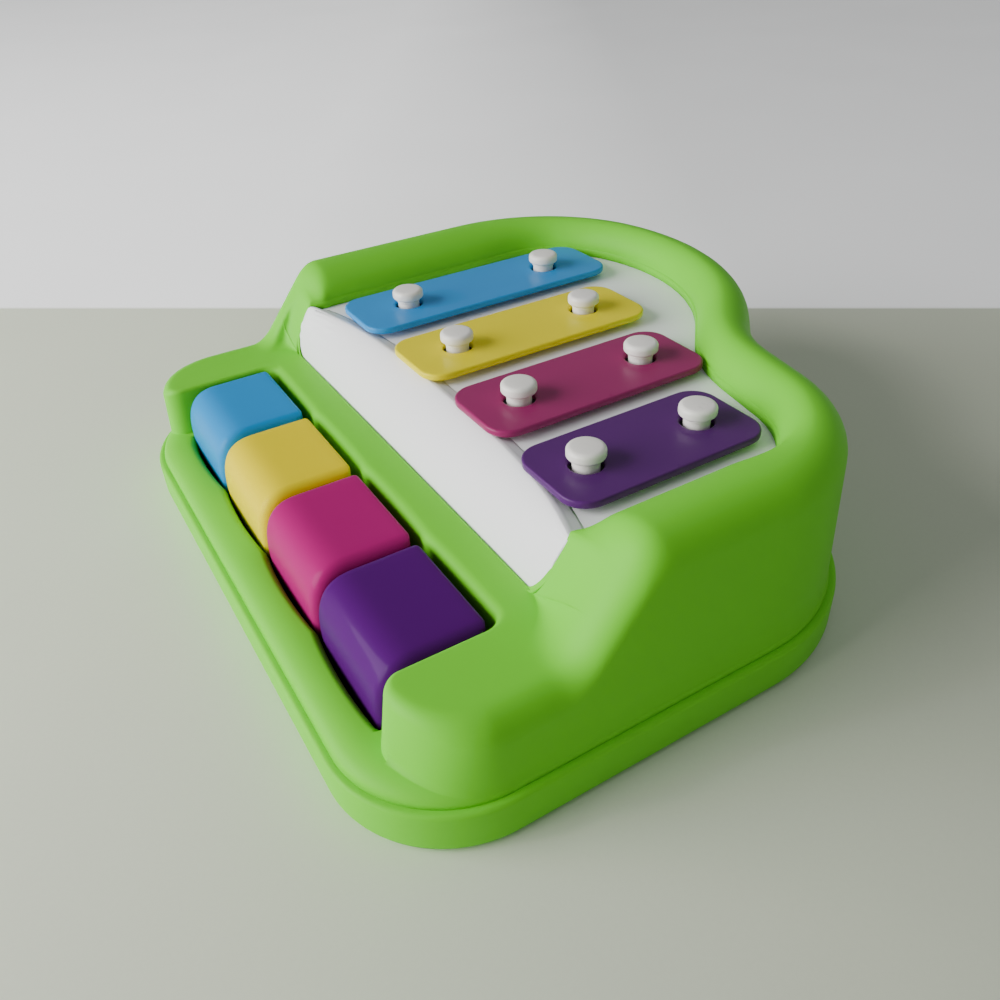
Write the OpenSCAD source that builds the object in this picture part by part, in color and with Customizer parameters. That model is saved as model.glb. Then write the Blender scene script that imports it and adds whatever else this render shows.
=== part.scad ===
/* [Casing outline] */
// Width of the casing beside the keys, on each side
cheek_w = 29.8; // [29:0.1:32]
// Radius of the skirt's right front corner, in plan
right_corner_r = 33; // [32:0.5:36]
// Radius of the skirt's left front corner, in plan
left_corner_r = 40; // [36:0.5:44]
// Length of the straight right side, measured from the front edge
right_side_y = 111; // [100:1:125]
// Radius of the rear right corner
tail_r = 53; // [48:1:60]
// Angle turned by the rear right corner, in degrees
tail_turn = 80; // [74:1:86]
// Straight run between the rear right corner and the waist
tail_run = 16; // [8:1:24]
// Radius of the hollow waist in the back edge
waist_r = 36; // [28:1:50]
// Angle turned by the waist, in degrees
waist_turn = 32; // [24:1:38]
// Straight run between the waist and the rear left bulge
waist_run = 12; // [6:1:20]
// Radius of the first part of the rear left bulge
bulge_r = 90; // [70:1:110]
// Angle turned by the first part of the bulge, in degrees
bulge_turn = 58; // [50:1:64]

/* [Casing shell] */
// Wall thickness of the green shell
wall = 2.6; // [2:0.1:3.2]
// Height of the tray's skirt, where the groove runs round
skirt_h = 12.8; // [11:0.2:14]
// How far the shell's foot stands back from the skirt
foot_inset = 2; // [1.4:0.1:2.6]
// Height of the deck round the keys
deck_z = 34.5; // [33:0.5:38]
// Height of the rim's crest
rim_z = 61.7; // [60:0.1:64]
// Radius of the rim's outer round-over
rim_r = 9; // [7:0.5:11]
// Radius of the deck's outer round-over
deck_r = 7.5; // [5:0.5:9]
// Width of the rim along the sides, from the skirt to its inner edge
rim_w = 27.5; // [26:0.5:29]
// Width of the rim round the back
rim_rear_w = 20.8; // [20:0.2:22]
// Height of the rim's inner edge
rim_foot_z = 52.6; // [52:0.1:54]
// Distance from the front edge to where the rim starts to rise
rise_y = 48.5; // [46:0.5:50]
// Length over which the rim rises
rise_run = 26; // [22:0.5:30]
// Set-back of the two front pillars behind the skirt
pillar_setback = 9; // [7:0.5:10]
// Height of the front lip
lip_z = 18; // [16.5:0.5:19]

/* [Keys] */
// Centre distance of neighbouring keys
key_pitch = 40; // [38:0.5:41]
// Gap between neighbouring keys
key_gap = 0.8; // [0.6:0.1:1.4]
// Distance from the front edge to the front of the keys
key_front_y = 14.4; // [13.8:0.2:15.4]
// Length of a key cap, front to back
key_len = 30.2; // [28.6:0.2:30.8]
// Radius of the curve at a key's front
key_nose_r = 9.6; // [8:0.2:11]
// Radius of a key's long upper edges
key_edge_r = 4; // [3:0.5:5]
// Wall thickness of a key cap
key_wall = 2.2; // [1.8:0.1:2.6]
// Height of a key cap's lower edge
key_foot_z = 11; // [10.4:0.1:12]
// Angle that a key turns when it is pressed, in degrees
key_turn = 6.5; // [4:0.1:6.5]
// Gap between a key and the side of the well
well_side_gap = 0.6; // [0.5:0.1:1.2]
// Gap between a key and the back of the well
well_back_gap = 3; // [2.6:0.2:4]
// Gap between a key and the front of the well
well_front_gap = 3.4; // [3:0.1:4]
// Depth of the scallops in the front of the well
scallop = 2; // [0:0.2:2.6]

/* [Levers and axle] */
// Distance from the front edge to the axle
axle_y = 64; // [62:0.5:66]
// Height of the axle
axle_z = 16; // [15:0.5:17]
// Diameter of the axle rod
axle_d = 4; // [3:0.5:5]
// Radial running clearance of a lever on the axle
axle_play = 0.08; // [0.04:0.01:0.1]
// Width of a lever
lever_w = 12; // [10:0.5:14]
// Height of a lever arm
lever_h = 6; // [5:0.5:7]
// Diameter of a hammer's stem
stem_d = 4.4; // [4:0.2:5]
// Diameter of a hammer's head
hammer_d = 8; // [7:0.5:9]
// Height of a return spring at rest
spring_h = 9.8; // [9.4:0.1:10.4]
// Mean diameter of a return spring
spring_d = 8; // [7:0.5:9]
// Wire diameter of a return spring
spring_wire = 0.8; // [0.6:0.1:1]

/* [Bars and posts] */
// Distance from the front edge to the front of the bars
bar_front_y = 73.8; // [72:0.1:75]
// How far the purple bar's front stands ahead of the others
bar_step_purple = 1.6; // [0:0.2:2]
// Length of the blue bar
bar_len_blue = 98; // [94:1:99]
// Length of the yellow bar
bar_len_yellow = 85; // [82:1:90]
// Length of the pink bar
bar_len_pink = 76; // [72:1:77]
// Length of the purple bar
bar_len_purple = 63.6; // [60:0.2:65]
// Width of a bar
bar_w = 30.4; // [28:0.2:32]
// Thickness of a bar
bar_t = 2.2; // [2:0.1:2.6]
// Corner radius of a bar
bar_corner_r = 7.5; // [6:0.5:9]
// Share of a bar's length from its end to a post
node_share = 0.21; // [0.2:0.005:0.25]
// Diameter of the hole round a post
bar_hole_d = 9.6; // [9:0.2:10.4]
// Diameter of a post's neck
neck_d = 7.4; // [7:0.1:8]
// Diameter of a post's head
head_d = 10.6; // [10.4:0.1:11.6]
// Height of a post above its bar
post_h = 5.5; // [4.5:0.1:6.5]
// Thickness of the felt washers under the bars
washer_t = 2; // [1.6:0.1:2.4]

/* [Soundboard] */
// Height of the soundboard's upper face
board_z = 49.6; // [49:0.1:50]
// Thickness of the soundboard
board_t = 2.5; // [2:0.1:3]
// Distance from the front edge to the foot of the sloped panel
panel_foot_y = 59.4; // [58.6:0.2:60]
// Distance from the front edge to the panel's crest, in the middle
crest_mid_y = 75.5; // [74:0.5:77]
// Distance from the front edge to the panel's crest, at the sides
crest_side_y = 66.5; // [65:0.5:68]
// Height of the panel's crest above the soundboard
crest_rise = 1.2; // [0.8:0.1:1.4]

/* [Tray and screws] */
// Thickness of the tray's floor
floor_t = 3; // [2.6:0.1:3.2]
// Height of the tongue that enters the shell
tongue_h = 2.6; // [2:0.2:3]
// Diameter of a screw's shank
screw_d = 2.9; // [2.5:0.1:3.2]
// Diameter of a screw's head
screw_head_d = 5.6; // [5:0.1:6]
// Diameter of a screw boss
boss_d = 8; // [7.4:0.2:9]

/* [Hidden] */
$fn = 40;

// Colours
GREEN = [0.42, 0.74, 0.18];
WHITE = [0.92, 0.93, 0.94];
FELT = [0.22, 0.22, 0.24];
STEEL = [0.75, 0.75, 0.77];
KEY_COLOURS = [[0.24, 0.60, 0.86], [0.94, 0.85, 0.10], [0.80, 0.16, 0.52], [0.36, 0.10, 0.56]];

// Small values that keep joined solids overlapping and touching ones apart
join = 0.6;
seat_gap = 0.3;
press_play = 0.02;

// Keys, from the player's left: 0 blue, 1 yellow, 2 pink, 3 purple
key_count = 4;
function key_x(k) = (k - (key_count - 1) / 2) * key_pitch;
key_w = key_pitch - key_gap;
key_back_y = key_front_y + key_len;
key_top_z = deck_z;
well_half = key_count / 2 * key_pitch - key_gap / 2 + well_side_gap;
well_front_y = key_front_y - well_front_gap;
well_back_y = key_back_y + well_back_gap;

half_w = well_half + cheek_w;

// Plan outline of the skirt, run anticlockwise from the middle of the front edge. A heading is
// the direction of travel in degrees, so the outward normal is [sin(h), -cos(h)].
function swing(p, r, h0, h1) = p + r * [sin(h1) - sin(h0), cos(h0) - cos(h1)];
function ahead(p, run, h) = p + run * [cos(h), sin(h)];
h_tail = 90 + tail_turn;
h_waist = h_tail - waist_turn;
h_bulge = h_waist + bulge_turn;
p_side = [half_w, right_side_y];
p_tail = swing(p_side, tail_r, 90, h_tail);
p_run = ahead(p_tail, tail_run, h_tail);
p_waist = swing(p_run, -waist_r, h_tail, h_waist);
p_rise = ahead(p_waist, waist_run, h_waist);
p_bulge = swing(p_rise, bulge_r, h_waist, h_bulge);
shoulder_r = (p_bulge[0] + half_w) / (1 + sin(h_bulge));
left_side_y = p_bulge[1] + shoulder_r * cos(h_bulge);
body_d = p_rise[1] + bulge_r * (1 + cos(h_waist));

// A station is [x, y, heading, zone]: zone 0 is the lip, 1 a pillar or front corner, 2 the rest
function arc_stations(p, r, h0, h1, steps, zone) = [
  for (i = [0:steps - 1])
    let (h = h0 + (h1 - h0) * i / steps, q = swing(p, r, h0, h))
    [q[0], q[1], h, zone]
];
function corner_heading(x, r) = asin(clamp((x - half_w + r) / r));
function corner_point(h, r) = swing([half_w - r, 0], r, 0, h);
function lip_station(x, r) = let (h = corner_heading(x, r)) [x, corner_point(h, r)[1], h, 0];
function mirrored(s) = [-s[0], s[1], 360 - s[2], s[3]];
step_in = 0.3;
function front_half(r) =
  let (h = corner_heading(well_half + step_in, r))
  concat(
    [for (i = [0:3]) lip_station((well_half - step_in) * i / 3, r)],
    arc_stations(corner_point(h, r), r, h, 90, 8, 1)
  );
RIGHT_FRONT = front_half(right_corner_r);
LEFT_FRONT = front_half(left_corner_r);
panel_gap = 0.4;
panel_corner_r = 8;
opening_y = panel_foot_y - panel_gap;
function side_ys(r) = concat(
  [for (i = [0:2]) r + (rise_y - r) * i / 3],
  [for (i = [0:9]) rise_y + rise_run * i / 9]
);
RIGHT_YS = side_ys(right_corner_r);
LEFT_YS = side_ys(left_corner_r);
STATIONS = concat(
  RIGHT_FRONT,
  [for (y = RIGHT_YS) [half_w, y, 90, 2]],
  [[half_w, (rise_y + rise_run + right_side_y) / 2, 90, 2]],
  arc_stations(p_side, tail_r, 90, h_tail, 9, 2),
  [[p_tail[0], p_tail[1], h_tail, 2]],
  arc_stations(p_run, -waist_r, h_tail, h_waist, 5, 2),
  [[p_waist[0], p_waist[1], h_waist, 2]],
  arc_stations(p_rise, bulge_r, h_waist, h_bulge, 7, 2),
  arc_stations(p_bulge, shoulder_r, h_bulge, 270, 8, 2),
  [[-half_w, left_side_y, 270, 2], [-half_w, (rise_y + rise_run + left_side_y) / 2, 270, 2]],
  [for (i = [len(LEFT_YS) - 1:-1:0]) [-half_w, LEFT_YS[i], 270, 2]],
  [for (i = [len(LEFT_FRONT) - 1:-1:1]) mirrored(LEFT_FRONT[i])]
);
function normal_of(s) = [sin(s[2]), -cos(s[2])];
function inset(s, d) = [s[0], s[1]] - d * normal_of(s);
function outline(d) = [for (s = STATIONS) inset(s, d)];

// Joins rings of points into a closed band; the rings follow each other anticlockwise from above
// and the points of a ring climb on its outer side
function band_faces(rings, points) = [
  for (i = [0:rings - 1], j = [0:points - 1])
    let (
      a = i * points + j,
      b = i * points + (j + 1) % points,
      c = ((i + 1) % rings) * points + (j + 1) % points,
      d = ((i + 1) % rings) * points + j
    )
    each [[a, b, c], [a, c, d]]
];

// Stacks level rings of points into a closed body, the lowest ring first. The two end faces are
// fans round a middle point.
module stack(rings, middle) {
  n = len(rings[0]);
  m = len(rings);
  low = n * m;
  polyhedron(
    points = concat(
      [for (r = rings) each r],
      [[middle[0], middle[1], rings[0][0][2]], [middle[0], middle[1], rings[m - 1][0][2]]]
    ),
    faces = concat(
      [for (j = [0:n - 1]) [j, (j + 1) % n, low]],
      [
        for (i = [0:m - 2], j = [0:n - 1])
          let (a = i * n + j, b = i * n + (j + 1) % n)
          each [[a, a + n, b + n], [a, b + n, b]]
      ],
      [for (j = [0:n - 1]) [(m - 1) * n + (j + 1) % n, (m - 1) * n + j, low + 1]]
    )
  );
}

module from_front() {
  translate([0, -body_d / 2, 0]) children();
}

module rounded_rect(x0, x1, y0, y1, r) {
  translate([x0 + r, y0]) square([x1 - x0 - 2 * r, y1 - y0]);
  translate([x0, y0 + r]) square([x1 - x0, y1 - y0 - 2 * r]);
  for (x = [x0 + r, x1 - r], y = [y0 + r, y1 - r]) translate([x, y]) circle(r);
}

// Extrudes a side view, drawn as [y, z], along X and centred on x
module side_slab(x, w) {
  translate([x + w / 2, 0, 0]) rotate([90, 0, -90]) mirror([1, 0, 0]) linear_extrude(w) children();
}

// Smooth rise from 0 to 1
function ease(t) = let (u = min(1, max(0, t))) u * u * (3 - 2 * u);
function clamp(t) = min(1, max(0, t));

// Casing section at a station. Each point is [distance in from the skirt, height].
wall_draft = 0.05;
rim_top_y = rise_y + rise_run;
crest_foot_y = crest_side_y + 0.5;
function is_rear(s) = s[1] > rim_top_y;
rear_blend = 42;
function rim_width(h) = rim_w + (rim_rear_w - rim_w) * ease(min(h - 90, 270 - h) / rear_blend);
widening_run = rim_top_y - opening_y - panel_corner_r;
function widening(y) = clamp((y - opening_y - panel_corner_r) / widening_run);
function rise_at(s) = s[3] == 2 ? ease((s[1] - rise_y) / rise_run) : 0;
function crest_at(s) = s[3] == 0 ? lip_z : deck_z + (rim_z - deck_z) * rise_at(s);
function corner_share(s) = s[3] == 2 ? 0 : abs(cos(s[2]));
lip_foot_in = 6;
foot_step = 0.3;
function foot_at(s) =
  s[3] == 0 ? lip_foot_in :
  foot_inset + foot_step + (pillar_setback - foot_inset) * pow(corner_share(s), 1.5);
function round_at(s) = s[3] == 0 ? 1 : deck_r + (rim_r - deck_r) * rise_at(s);
// The inner edge stands a little into the well, which is cut out afterwards
well_over = 0.4;
lip_inner_y = well_front_y + scallop + 1.5;
function well_share(y) = 1 - clamp((y - well_back_y) / (opening_y - well_back_y));
function cheek_inset(y) = cheek_w + well_over * well_share(y) + (rim_w - cheek_w) * widening(y);
function corner_r_at(s) = s[0] > 0 ? right_corner_r : left_corner_r;
function inner_edge_at(s) =
  s[3] == 0 ? [s[0], lip_inner_y] :
  s[3] == 1 ? [sign(s[0]) * (well_half - well_over), corner_r_at(s) - 1.5 * corner_share(s)] :
  is_rear(s) ? inset(s, rim_width(s[2])) :
  inset(s, cheek_inset(s[1]));
deck_edge_z = deck_z - 0.3;
lip_edge_z = lip_z - 1.5;
flat_power = 7;
rim_power = 1.8;
function inner_z_at(s) =
  s[3] == 0 ? lip_edge_z :
  s[3] == 1 ? deck_edge_z :
  deck_edge_z + (rim_foot_z - deck_edge_z) * clamp((s[1] - opening_y) / (crest_foot_y - opening_y));
function inner_power_at(s) = s[3] == 0 ? 2 : flat_power + (rim_power - flat_power) * rise_at(s);

// Directions in which the points of a section step in to the shell's inner face
LIP_INWARD = [
  [1, 0], [0.8, 0.5], [0.5, 0.75], [0.3, 0.9], [0.35, 1],
  [0.35, 1.1], [0.3, 1.15], [0.2, 1.15], [0.1, 1.15]
];
function wall_inward(a) = [
  [1, 0], [1 - 0.3 * a, 0.7 * a], [1 - 0.4 * a, 0.8 * a], [1 - 0.1 * a, 0.1 + 0.9 * a], [1, 0.1]
];
shelf_rise = 4;
shelf_z_front = lip_z - 1.4;
pillar_lean = 1.5;
round_step = 22.5;
function section(s) =
  let (
    q = inner_edge_at(s),
    width = norm(q - [s[0], s[1]]),
    h = crest_at(s),
    foot = foot_at(s),
    r = round_at(s),
    shelf_z = s[3] == 2 ? skirt_h + shelf_rise : shelf_z_front,
    a = corner_share(s),
    top_in = foot + wall_draft * (h - r - shelf_z) + (s[3] == 1 ? a * pillar_lean : 0),
    crest_in = top_in + r,
    z_in = inner_z_at(s),
    p = inner_power_at(s),
    outer = concat(
      [
        [foot_inset, skirt_h],
        [foot_inset + 0.2 + 0.15 * (foot - foot_inset), skirt_h + 0.6 * (shelf_z - skirt_h)],
        [foot_inset + 0.2 + 0.5 * (foot - foot_inset), skirt_h + 0.9 * (shelf_z - skirt_h)],
        [foot, shelf_z],
        [top_in, h - r],
      ],
      [for (b = [round_step:round_step:90]) [top_in + r * (1 - cos(b)), h - r + r * sin(b)]],
      [
        for (i = [1:5])
          let (u = i / 5)
          [crest_in + (width - crest_in) * u, z_in + (h - z_in) * pow(1 - pow(u, p), 1 / p)]
      ]
    ),
    inward = concat(
      s[3] == 0 ? LIP_INWARD : wall_inward(a),
      s[3] == 0 ? [] : [for (b = [round_step:round_step:90]) [cos(b), sin(b)]],
      [for (i = [1:5]) let (u = i / 5) [-0.9 * rise_at(s) * u * (u < 1 ? 1 : 0), 1]]
    ),
    under = [for (i = [len(outer) - 1:-1:0]) outer[i] + wall * [inward[i][0], -inward[i][1]]]
  )
  concat(outer, under);
function section_points(s) =
  let (q = inner_edge_at(s), along = (q - [s[0], s[1]]) / norm(q - [s[0], s[1]]))
  [for (v = section(s)) [s[0] + along[0] * v[0], s[1] + along[1] * v[0], max(v[1], skirt_h)]];

module shell_band() {
  rings = [for (s = STATIONS) section_points(s)];
  polyhedron(points = [for (r = rings) each r], faces = band_faces(len(rings), len(rings[0])));
}

function scallop_y(x) = let (s = (x - key_x(0)) / key_pitch, t = 2 * (s - round(s))) t * t;
well_steps = 32;
rear_scallop = 0.3 * scallop;
function well_x(i) = -well_half + 2 * well_half * i / well_steps;
module well_shape() {
  polygon(concat(
    [for (i = [0:well_steps]) let (x = well_x(i)) [x, well_front_y + scallop * scallop_y(x)]],
    [for (i = [well_steps:-1:0]) let (x = well_x(i)) [x, well_back_y - rear_scallop * scallop_y(x)]]
  ));
}

module opening_shape(gap) {
  rounded_rect(-well_half + gap, well_half - gap, opening_y + gap, body_d, panel_corner_r - gap);
}

// Screw bosses, [x, y, top]: the casing's own and those that hold the soundboard. A spot lies a
// distance in from the skirt at a heading.
boss_in = 11.6;
ear_back = 7.5;
boss_back = 2.4;
front_boss_in = 17;
front_boss_y = right_corner_r + 5;
front_boss_top = deck_z - 1;
ear_top_side = rim_z - 3.5;
ear_top_rear = rim_z - 1.8;
side_boss_y = rim_top_y + 14;
function spot(p, h, d) = p - d * [sin(h), -cos(h)];
function tail_spot(share, d) =
  let (h = 90 + share * tail_turn) spot(swing(p_side, tail_r, 90, h), h, d);
function bulge_spot(h, d) = spot(swing(p_rise, bulge_r, h_waist, h), h, d);
function shoulder_spot(h, d) = spot(swing(p_bulge, shoulder_r, h_bulge, h), h, d);
function with_top(q, top) = [q[0], q[1], top];
CASING_BOSSES = [
  [front_boss_in - half_w, front_boss_y, front_boss_top],
  [half_w - front_boss_in, front_boss_y, front_boss_top],
  [boss_in - half_w, side_boss_y, rim_z - boss_back],
  [half_w - boss_in, side_boss_y, rim_z - boss_back],
  with_top(tail_spot(0.55, boss_in), rim_z - boss_back),
  with_top(bulge_spot(180, boss_in), rim_z - boss_back),
  with_top(shoulder_spot(237, boss_in), rim_z - boss_back),
];
BOARD_BOSSES = [
  [half_w - rim_w + ear_back, side_boss_y + 16, ear_top_side],
  [rim_w - ear_back - half_w, side_boss_y + 16, ear_top_side],
  [rim_w - ear_back - half_w, left_side_y - 2, ear_top_side],
  with_top(shoulder_spot(208, rim_rear_w - ear_back), ear_top_rear),
  with_top(bulge_spot(160, rim_rear_w - ear_back), ear_top_rear),
  with_top(tail_spot(0.95, rim_rear_w - ear_back), ear_top_rear),
];
board_boss_d = 6.4;
module upright(b, foot, d, h) {
  translate([b[0], b[1], foot]) cylinder(d = d, h = h);
}

cheek_t = 3;
deck_bar_over = 1.2;
deck_bar_y = well_back_y - scallop;
shank_bore_d = screw_d + 2 * press_play;
module cheek_walls() {
  for (m = [-1, 1])
    side_slab(m * (well_half + cheek_t / 2 - well_over), cheek_t)
      polygon([
        [pillar_setback + 2.4, skirt_h],
        [pillar_setback + 2.4, lip_z],
        [pillar_setback + 4.2, deck_z - deck_r],
        [pillar_setback + 8, deck_z - 2],
        [pillar_setback + 12, deck_z - 1],
        [well_back_y + join, deck_z - 1],
        [well_back_y + join, skirt_h],
      ]);
}

module casing() {
  color(GREEN) from_front() {
    difference() {
      union() {
        shell_band();
        translate([0, 0, deck_z - wall]) linear_extrude(wall) difference() {
          translate([-well_half - deck_bar_over, deck_bar_y])
            square([2 * (well_half + deck_bar_over), opening_y + panel_corner_r - deck_bar_y]);
          opening_shape(0);
        }
        cheek_walls();
        for (b = CASING_BOSSES) upright(b, boss_foot_z, boss_d, b[2] - boss_foot_z);
        for (b = BOARD_BOSSES) upright(b, board_z, board_boss_d, b[2] - board_z);
      }
      linear_extrude(rim_z) well_shape();
      for (b = CASING_BOSSES) upright(b, boss_foot_z - 1, shank_bore_d, screw_len);
      for (b = BOARD_BOSSES) upright(b, board_z - 1, shank_bore_d, board_screw_len - board_t + 1);
    }
  }
}

// Tray: skirt, floor, tongue, screw bosses, axle stands and spring pins
skirt_round = 2.6;
tongue_in = foot_inset + wall + seat_gap;
tongue_front_y = max(right_corner_r, left_corner_r);
tray_wall = 2.4;
tray_boss_h = 3;
boss_foot_z = floor_t + tray_boss_h;
screw_len = 16;
screw_head_h = 2.2;
head_recess = 1.2;
board_screw_len = 8;
stand_w = 3;
stand_d = 13;
axle_bore_play = 0.05;
spring_y = key_front_y + 21.4;
spring_pin_h = 3.6;
landing_w = 8;
end_stand = 0.6 * key_pitch;
STAND_XS = concat(
  [for (k = [0:key_count - 2]) (key_x(k) + key_x(k + 1)) / 2],
  [key_x(0) - end_stand, key_x(key_count - 1) + end_stand]
);
stand_over = 5;
boss_seat_d = boss_d + 2;
pin_d = spring_d - spring_wire - 1;
tray_edge_r = 1.3;
screw_clear = 0.3;

function ring_at(d, z) = [for (p = outline(d)) [p[0], p[1], z]];
module tray() {
  color(GREEN) from_front() difference() {
    union() {
      difference() {
        stack([
          ring_at(0.85 * skirt_round, 0),
          ring_at(0.3 * skirt_round, 0.3 * skirt_round),
          ring_at(0, skirt_round),
          ring_at(0, skirt_h - tray_edge_r),
          ring_at(0.3 * tray_edge_r, skirt_h - 0.3 * tray_edge_r),
          ring_at(tray_edge_r, skirt_h),
          ring_at(tongue_in, skirt_h),
          ring_at(tongue_in, skirt_h + tongue_h),
        ], [0, body_d / 2]);
        translate([-half_w, 0, skirt_h]) cube([2 * half_w, tongue_front_y, tongue_h + 1]);
        translate([0, 0, floor_t]) linear_extrude(skirt_h + tongue_h)
          polygon(outline(tongue_in + tray_wall));
      }
      for (b = CASING_BOSSES) upright(b, floor_t - join, boss_seat_d, tray_boss_h + join);
      for (x = STAND_XS)
        translate([x - stand_w / 2, axle_y - stand_d / 2, floor_t - join])
          cube([stand_w, stand_d, axle_z + stand_over - floor_t + join]);
      for (k = [0:key_count - 1])
        upright([key_x(k), spring_y], floor_t - join, pin_d, spring_pin_h + join);
    }
    for (b = CASING_BOSSES) {
      upright(b, -1, screw_d + 2 * screw_clear, boss_foot_z + 2);
      upright(b, -1, screw_head_d + 2 * screw_clear, 1 + head_recess + screw_head_h);
    }
    translate([-half_w, axle_y, axle_z]) rotate([0, 90, 0])
      cylinder(d = axle_d + 2 * axle_bore_play, h = 2 * half_w);
  }
}

// Soundboard: the flat board and the sloped panel in front of it, in one moulding
panel_steps = 20;
function crest_y_at(x) = crest_mid_y - (crest_mid_y - crest_side_y) * pow(abs(x) / well_half, 3);
function panel_half_at(y) = well_half - seat_gap + (cheek_w - rim_w) * widening(y);
crest_z = board_z + crest_rise;
panel_foot_z = deck_z - wall - 0.6;
PANEL_ROWS = [0, 0.12, 0.3, 0.5, 0.7, 0.85, 0.95, 1];
PANEL_UNDER = [0.9, 0.9, 0.9, 0.9, 0.9, 0.45, 0.2, 0.3, 0.1, 0, 0];
function t_of(i) = i < len(PANEL_ROWS) ? PANEL_ROWS[i] : 1;
panel_power = 1.35;
function panel_rise(t) = pow(1 - pow(1 - t, panel_power), 1 / panel_power);
function panel_row(u, t) = let (
    yc = crest_y_at(u * well_half),
    y = panel_foot_y + (yc - panel_foot_y) * t,
    z = panel_foot_z + (crest_z - panel_foot_z) * panel_rise(t)
  ) [u * panel_half_at(y), y, z];
function panel_tail(u, d, z) = let (y = crest_y_at(u * well_half) + d) [u * panel_half_at(y), y, z];
function panel_top(u) = concat(
  [for (t = PANEL_ROWS) panel_row(u, t)],
  [panel_tail(u, 1.6, crest_z - 0.25), panel_tail(u, 4, board_z + 0.1), panel_tail(u, 5, board_z - 0.2)]
);
panel_bend = 5;
panel_low_z = board_z - board_t + seat_gap;
function panel_under_z(i, z) = i < panel_bend ? z - 0.8 * board_t : panel_low_z - (1 - t_of(i)) * 3;
function panel_under(u) = [
  for (i = [0:len(PANEL_UNDER) - 1])
    let (v = panel_top(u)[i])
    [v[0], v[1] + PANEL_UNDER[i] * board_t, max(panel_foot_z, panel_under_z(i, v[2]))]
];
module panel() {
  rings = [
    for (i = [0:panel_steps])
      let (u = 2 * i / panel_steps - 1)
      concat(panel_top(u), panel_under(u))
  ];
  n = len(rings[0]);
  m = n / 2;
  last = panel_steps * n;
  polyhedron(
    points = [for (r = rings) each r],
    faces = concat(
      [for (j = [0:m - 2]) each [[j, j + m, j + m + 1], [j, j + m + 1, j + 1]]],
      [
        for (i = [0:panel_steps - 1], j = [0:m - 2])
          let (a = i * n + j, b = a + m)
          each [
            [a, a + 1, a + n + 1], [a, a + n + 1, a + n],
            [b, b + n, b + n + 1], [b, b + n + 1, b + 1]
          ]
      ],
      [
        for (i = [0:panel_steps - 1])
          let (a = i * n, b = a + m, c = m - 1)
          each [
            [a, a + n, b + n], [a, b + n, b],
            [a + c, b + c, b + n + c], [a + c, b + n + c, a + n + c]
          ]
      ],
      [
        for (j = [0:m - 2])
          let (a = last + j, b = a + m)
          each [[a, a + 1, b + 1], [a, b + 1, b]]
      ]
    )
  );
}

board_tuck = 5;
module board_shape() {
  rear = [
    for (s = STATIONS)
      if (s[3] == 2 && s[1] > rim_top_y - 1) inset(s, rim_width(s[2]) - board_tuck)
  ];
  polygon(concat(
    rear,
    [for (i = [0:8]) let (x = -well_half + 2 * well_half * i / 8) [x, crest_y_at(x) + 3]]
  ));
}

// How far each bar stands to the right of its key's middle
BAR_SHIFT = [1.1, 1.5, 1.5, 0.2];
function bar_x(k) = key_x(k) + BAR_SHIFT[k];
function bar_len(k) = [bar_len_blue, bar_len_yellow, bar_len_pink, bar_len_purple][k];
function bar_front(k) = bar_front_y - (k == key_count - 1 ? bar_step_purple : 0);
function post_y(k, end) = bar_front(k) + bar_len(k) * (end == 0 ? node_share : 1 - node_share);
function post_at(k, end) = [bar_x(k), post_y(k, end)];
function strike_y(k) = bar_front(k) + bar_len(k) / 2;
bar_z = board_z + washer_t;
hammer_swing = (bar_z - axle_z) * sin(key_turn);
board_boss_h = 6;
window_w = hammer_d + 4;
socket_foot_z = board_z - board_t - board_boss_h;
post_boss_d = neck_d + 4;
board_bore_d = screw_d + 0.4;
function window_y(k) = strike_y(k) - hammer_d / 2 - hammer_swing - 1;
module soundboard() {
  color(WHITE) from_front() difference() {
    union() {
      intersection() {
        panel();
        linear_extrude(rim_z) {
          opening_shape(seat_gap);
          translate([-half_w, opening_y + panel_corner_r]) square([2 * half_w, body_d / 2]);
        }
      }
      translate([0, 0, board_z - board_t]) linear_extrude(board_t) board_shape();
      for (b = BOARD_BOSSES) upright(b, board_z - board_t, boss_d, board_t);
      for (k = [0:key_count - 1], e = [0, 1])
        upright(post_at(k, e), socket_foot_z, post_boss_d, board_boss_h + join);
    }
    for (b = BOARD_BOSSES) upright(b, board_z - board_t - 1, board_bore_d, board_t + 2);
    for (k = [0:key_count - 1], e = [0, 1])
      upright(post_at(k, e), socket_foot_z - 1, neck_d + 2 * press_play, board_boss_h + board_t + 2);
    for (k = [0:key_count - 1])
      translate([key_x(k) - window_w / 2, window_y(k), board_z - board_t - 1])
        cube([window_w, hammer_d + hammer_swing + 3, board_t + 2]);
  }
}

// Axle rod and the clips on its ends
axle_over = 4;
axle_len = STAND_XS[len(STAND_XS) - 1] - STAND_XS[len(STAND_XS) - 2] + stand_w + 2 * axle_over;
clip_t = 1;
clip_play = 0.1;
clip_x = axle_len / 2 - axle_over + clip_t / 2 + clip_play;
module axle_rod() {
  color(STEEL) from_front() translate([-axle_len / 2, axle_y, axle_z]) rotate([0, 90, 0])
    cylinder(d = axle_d, h = axle_len);
}
module axle_clips() {
  color(STEEL) from_front() for (m = [-1, 1])
    translate([m * clip_x, axle_y, axle_z]) rotate([0, 90, 0])
      difference() {
        cylinder(d = axle_d + 5, h = clip_t, center = true);
        cylinder(d = axle_d + 2 * press_play, h = clip_t + 1, center = true);
      }
}

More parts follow.
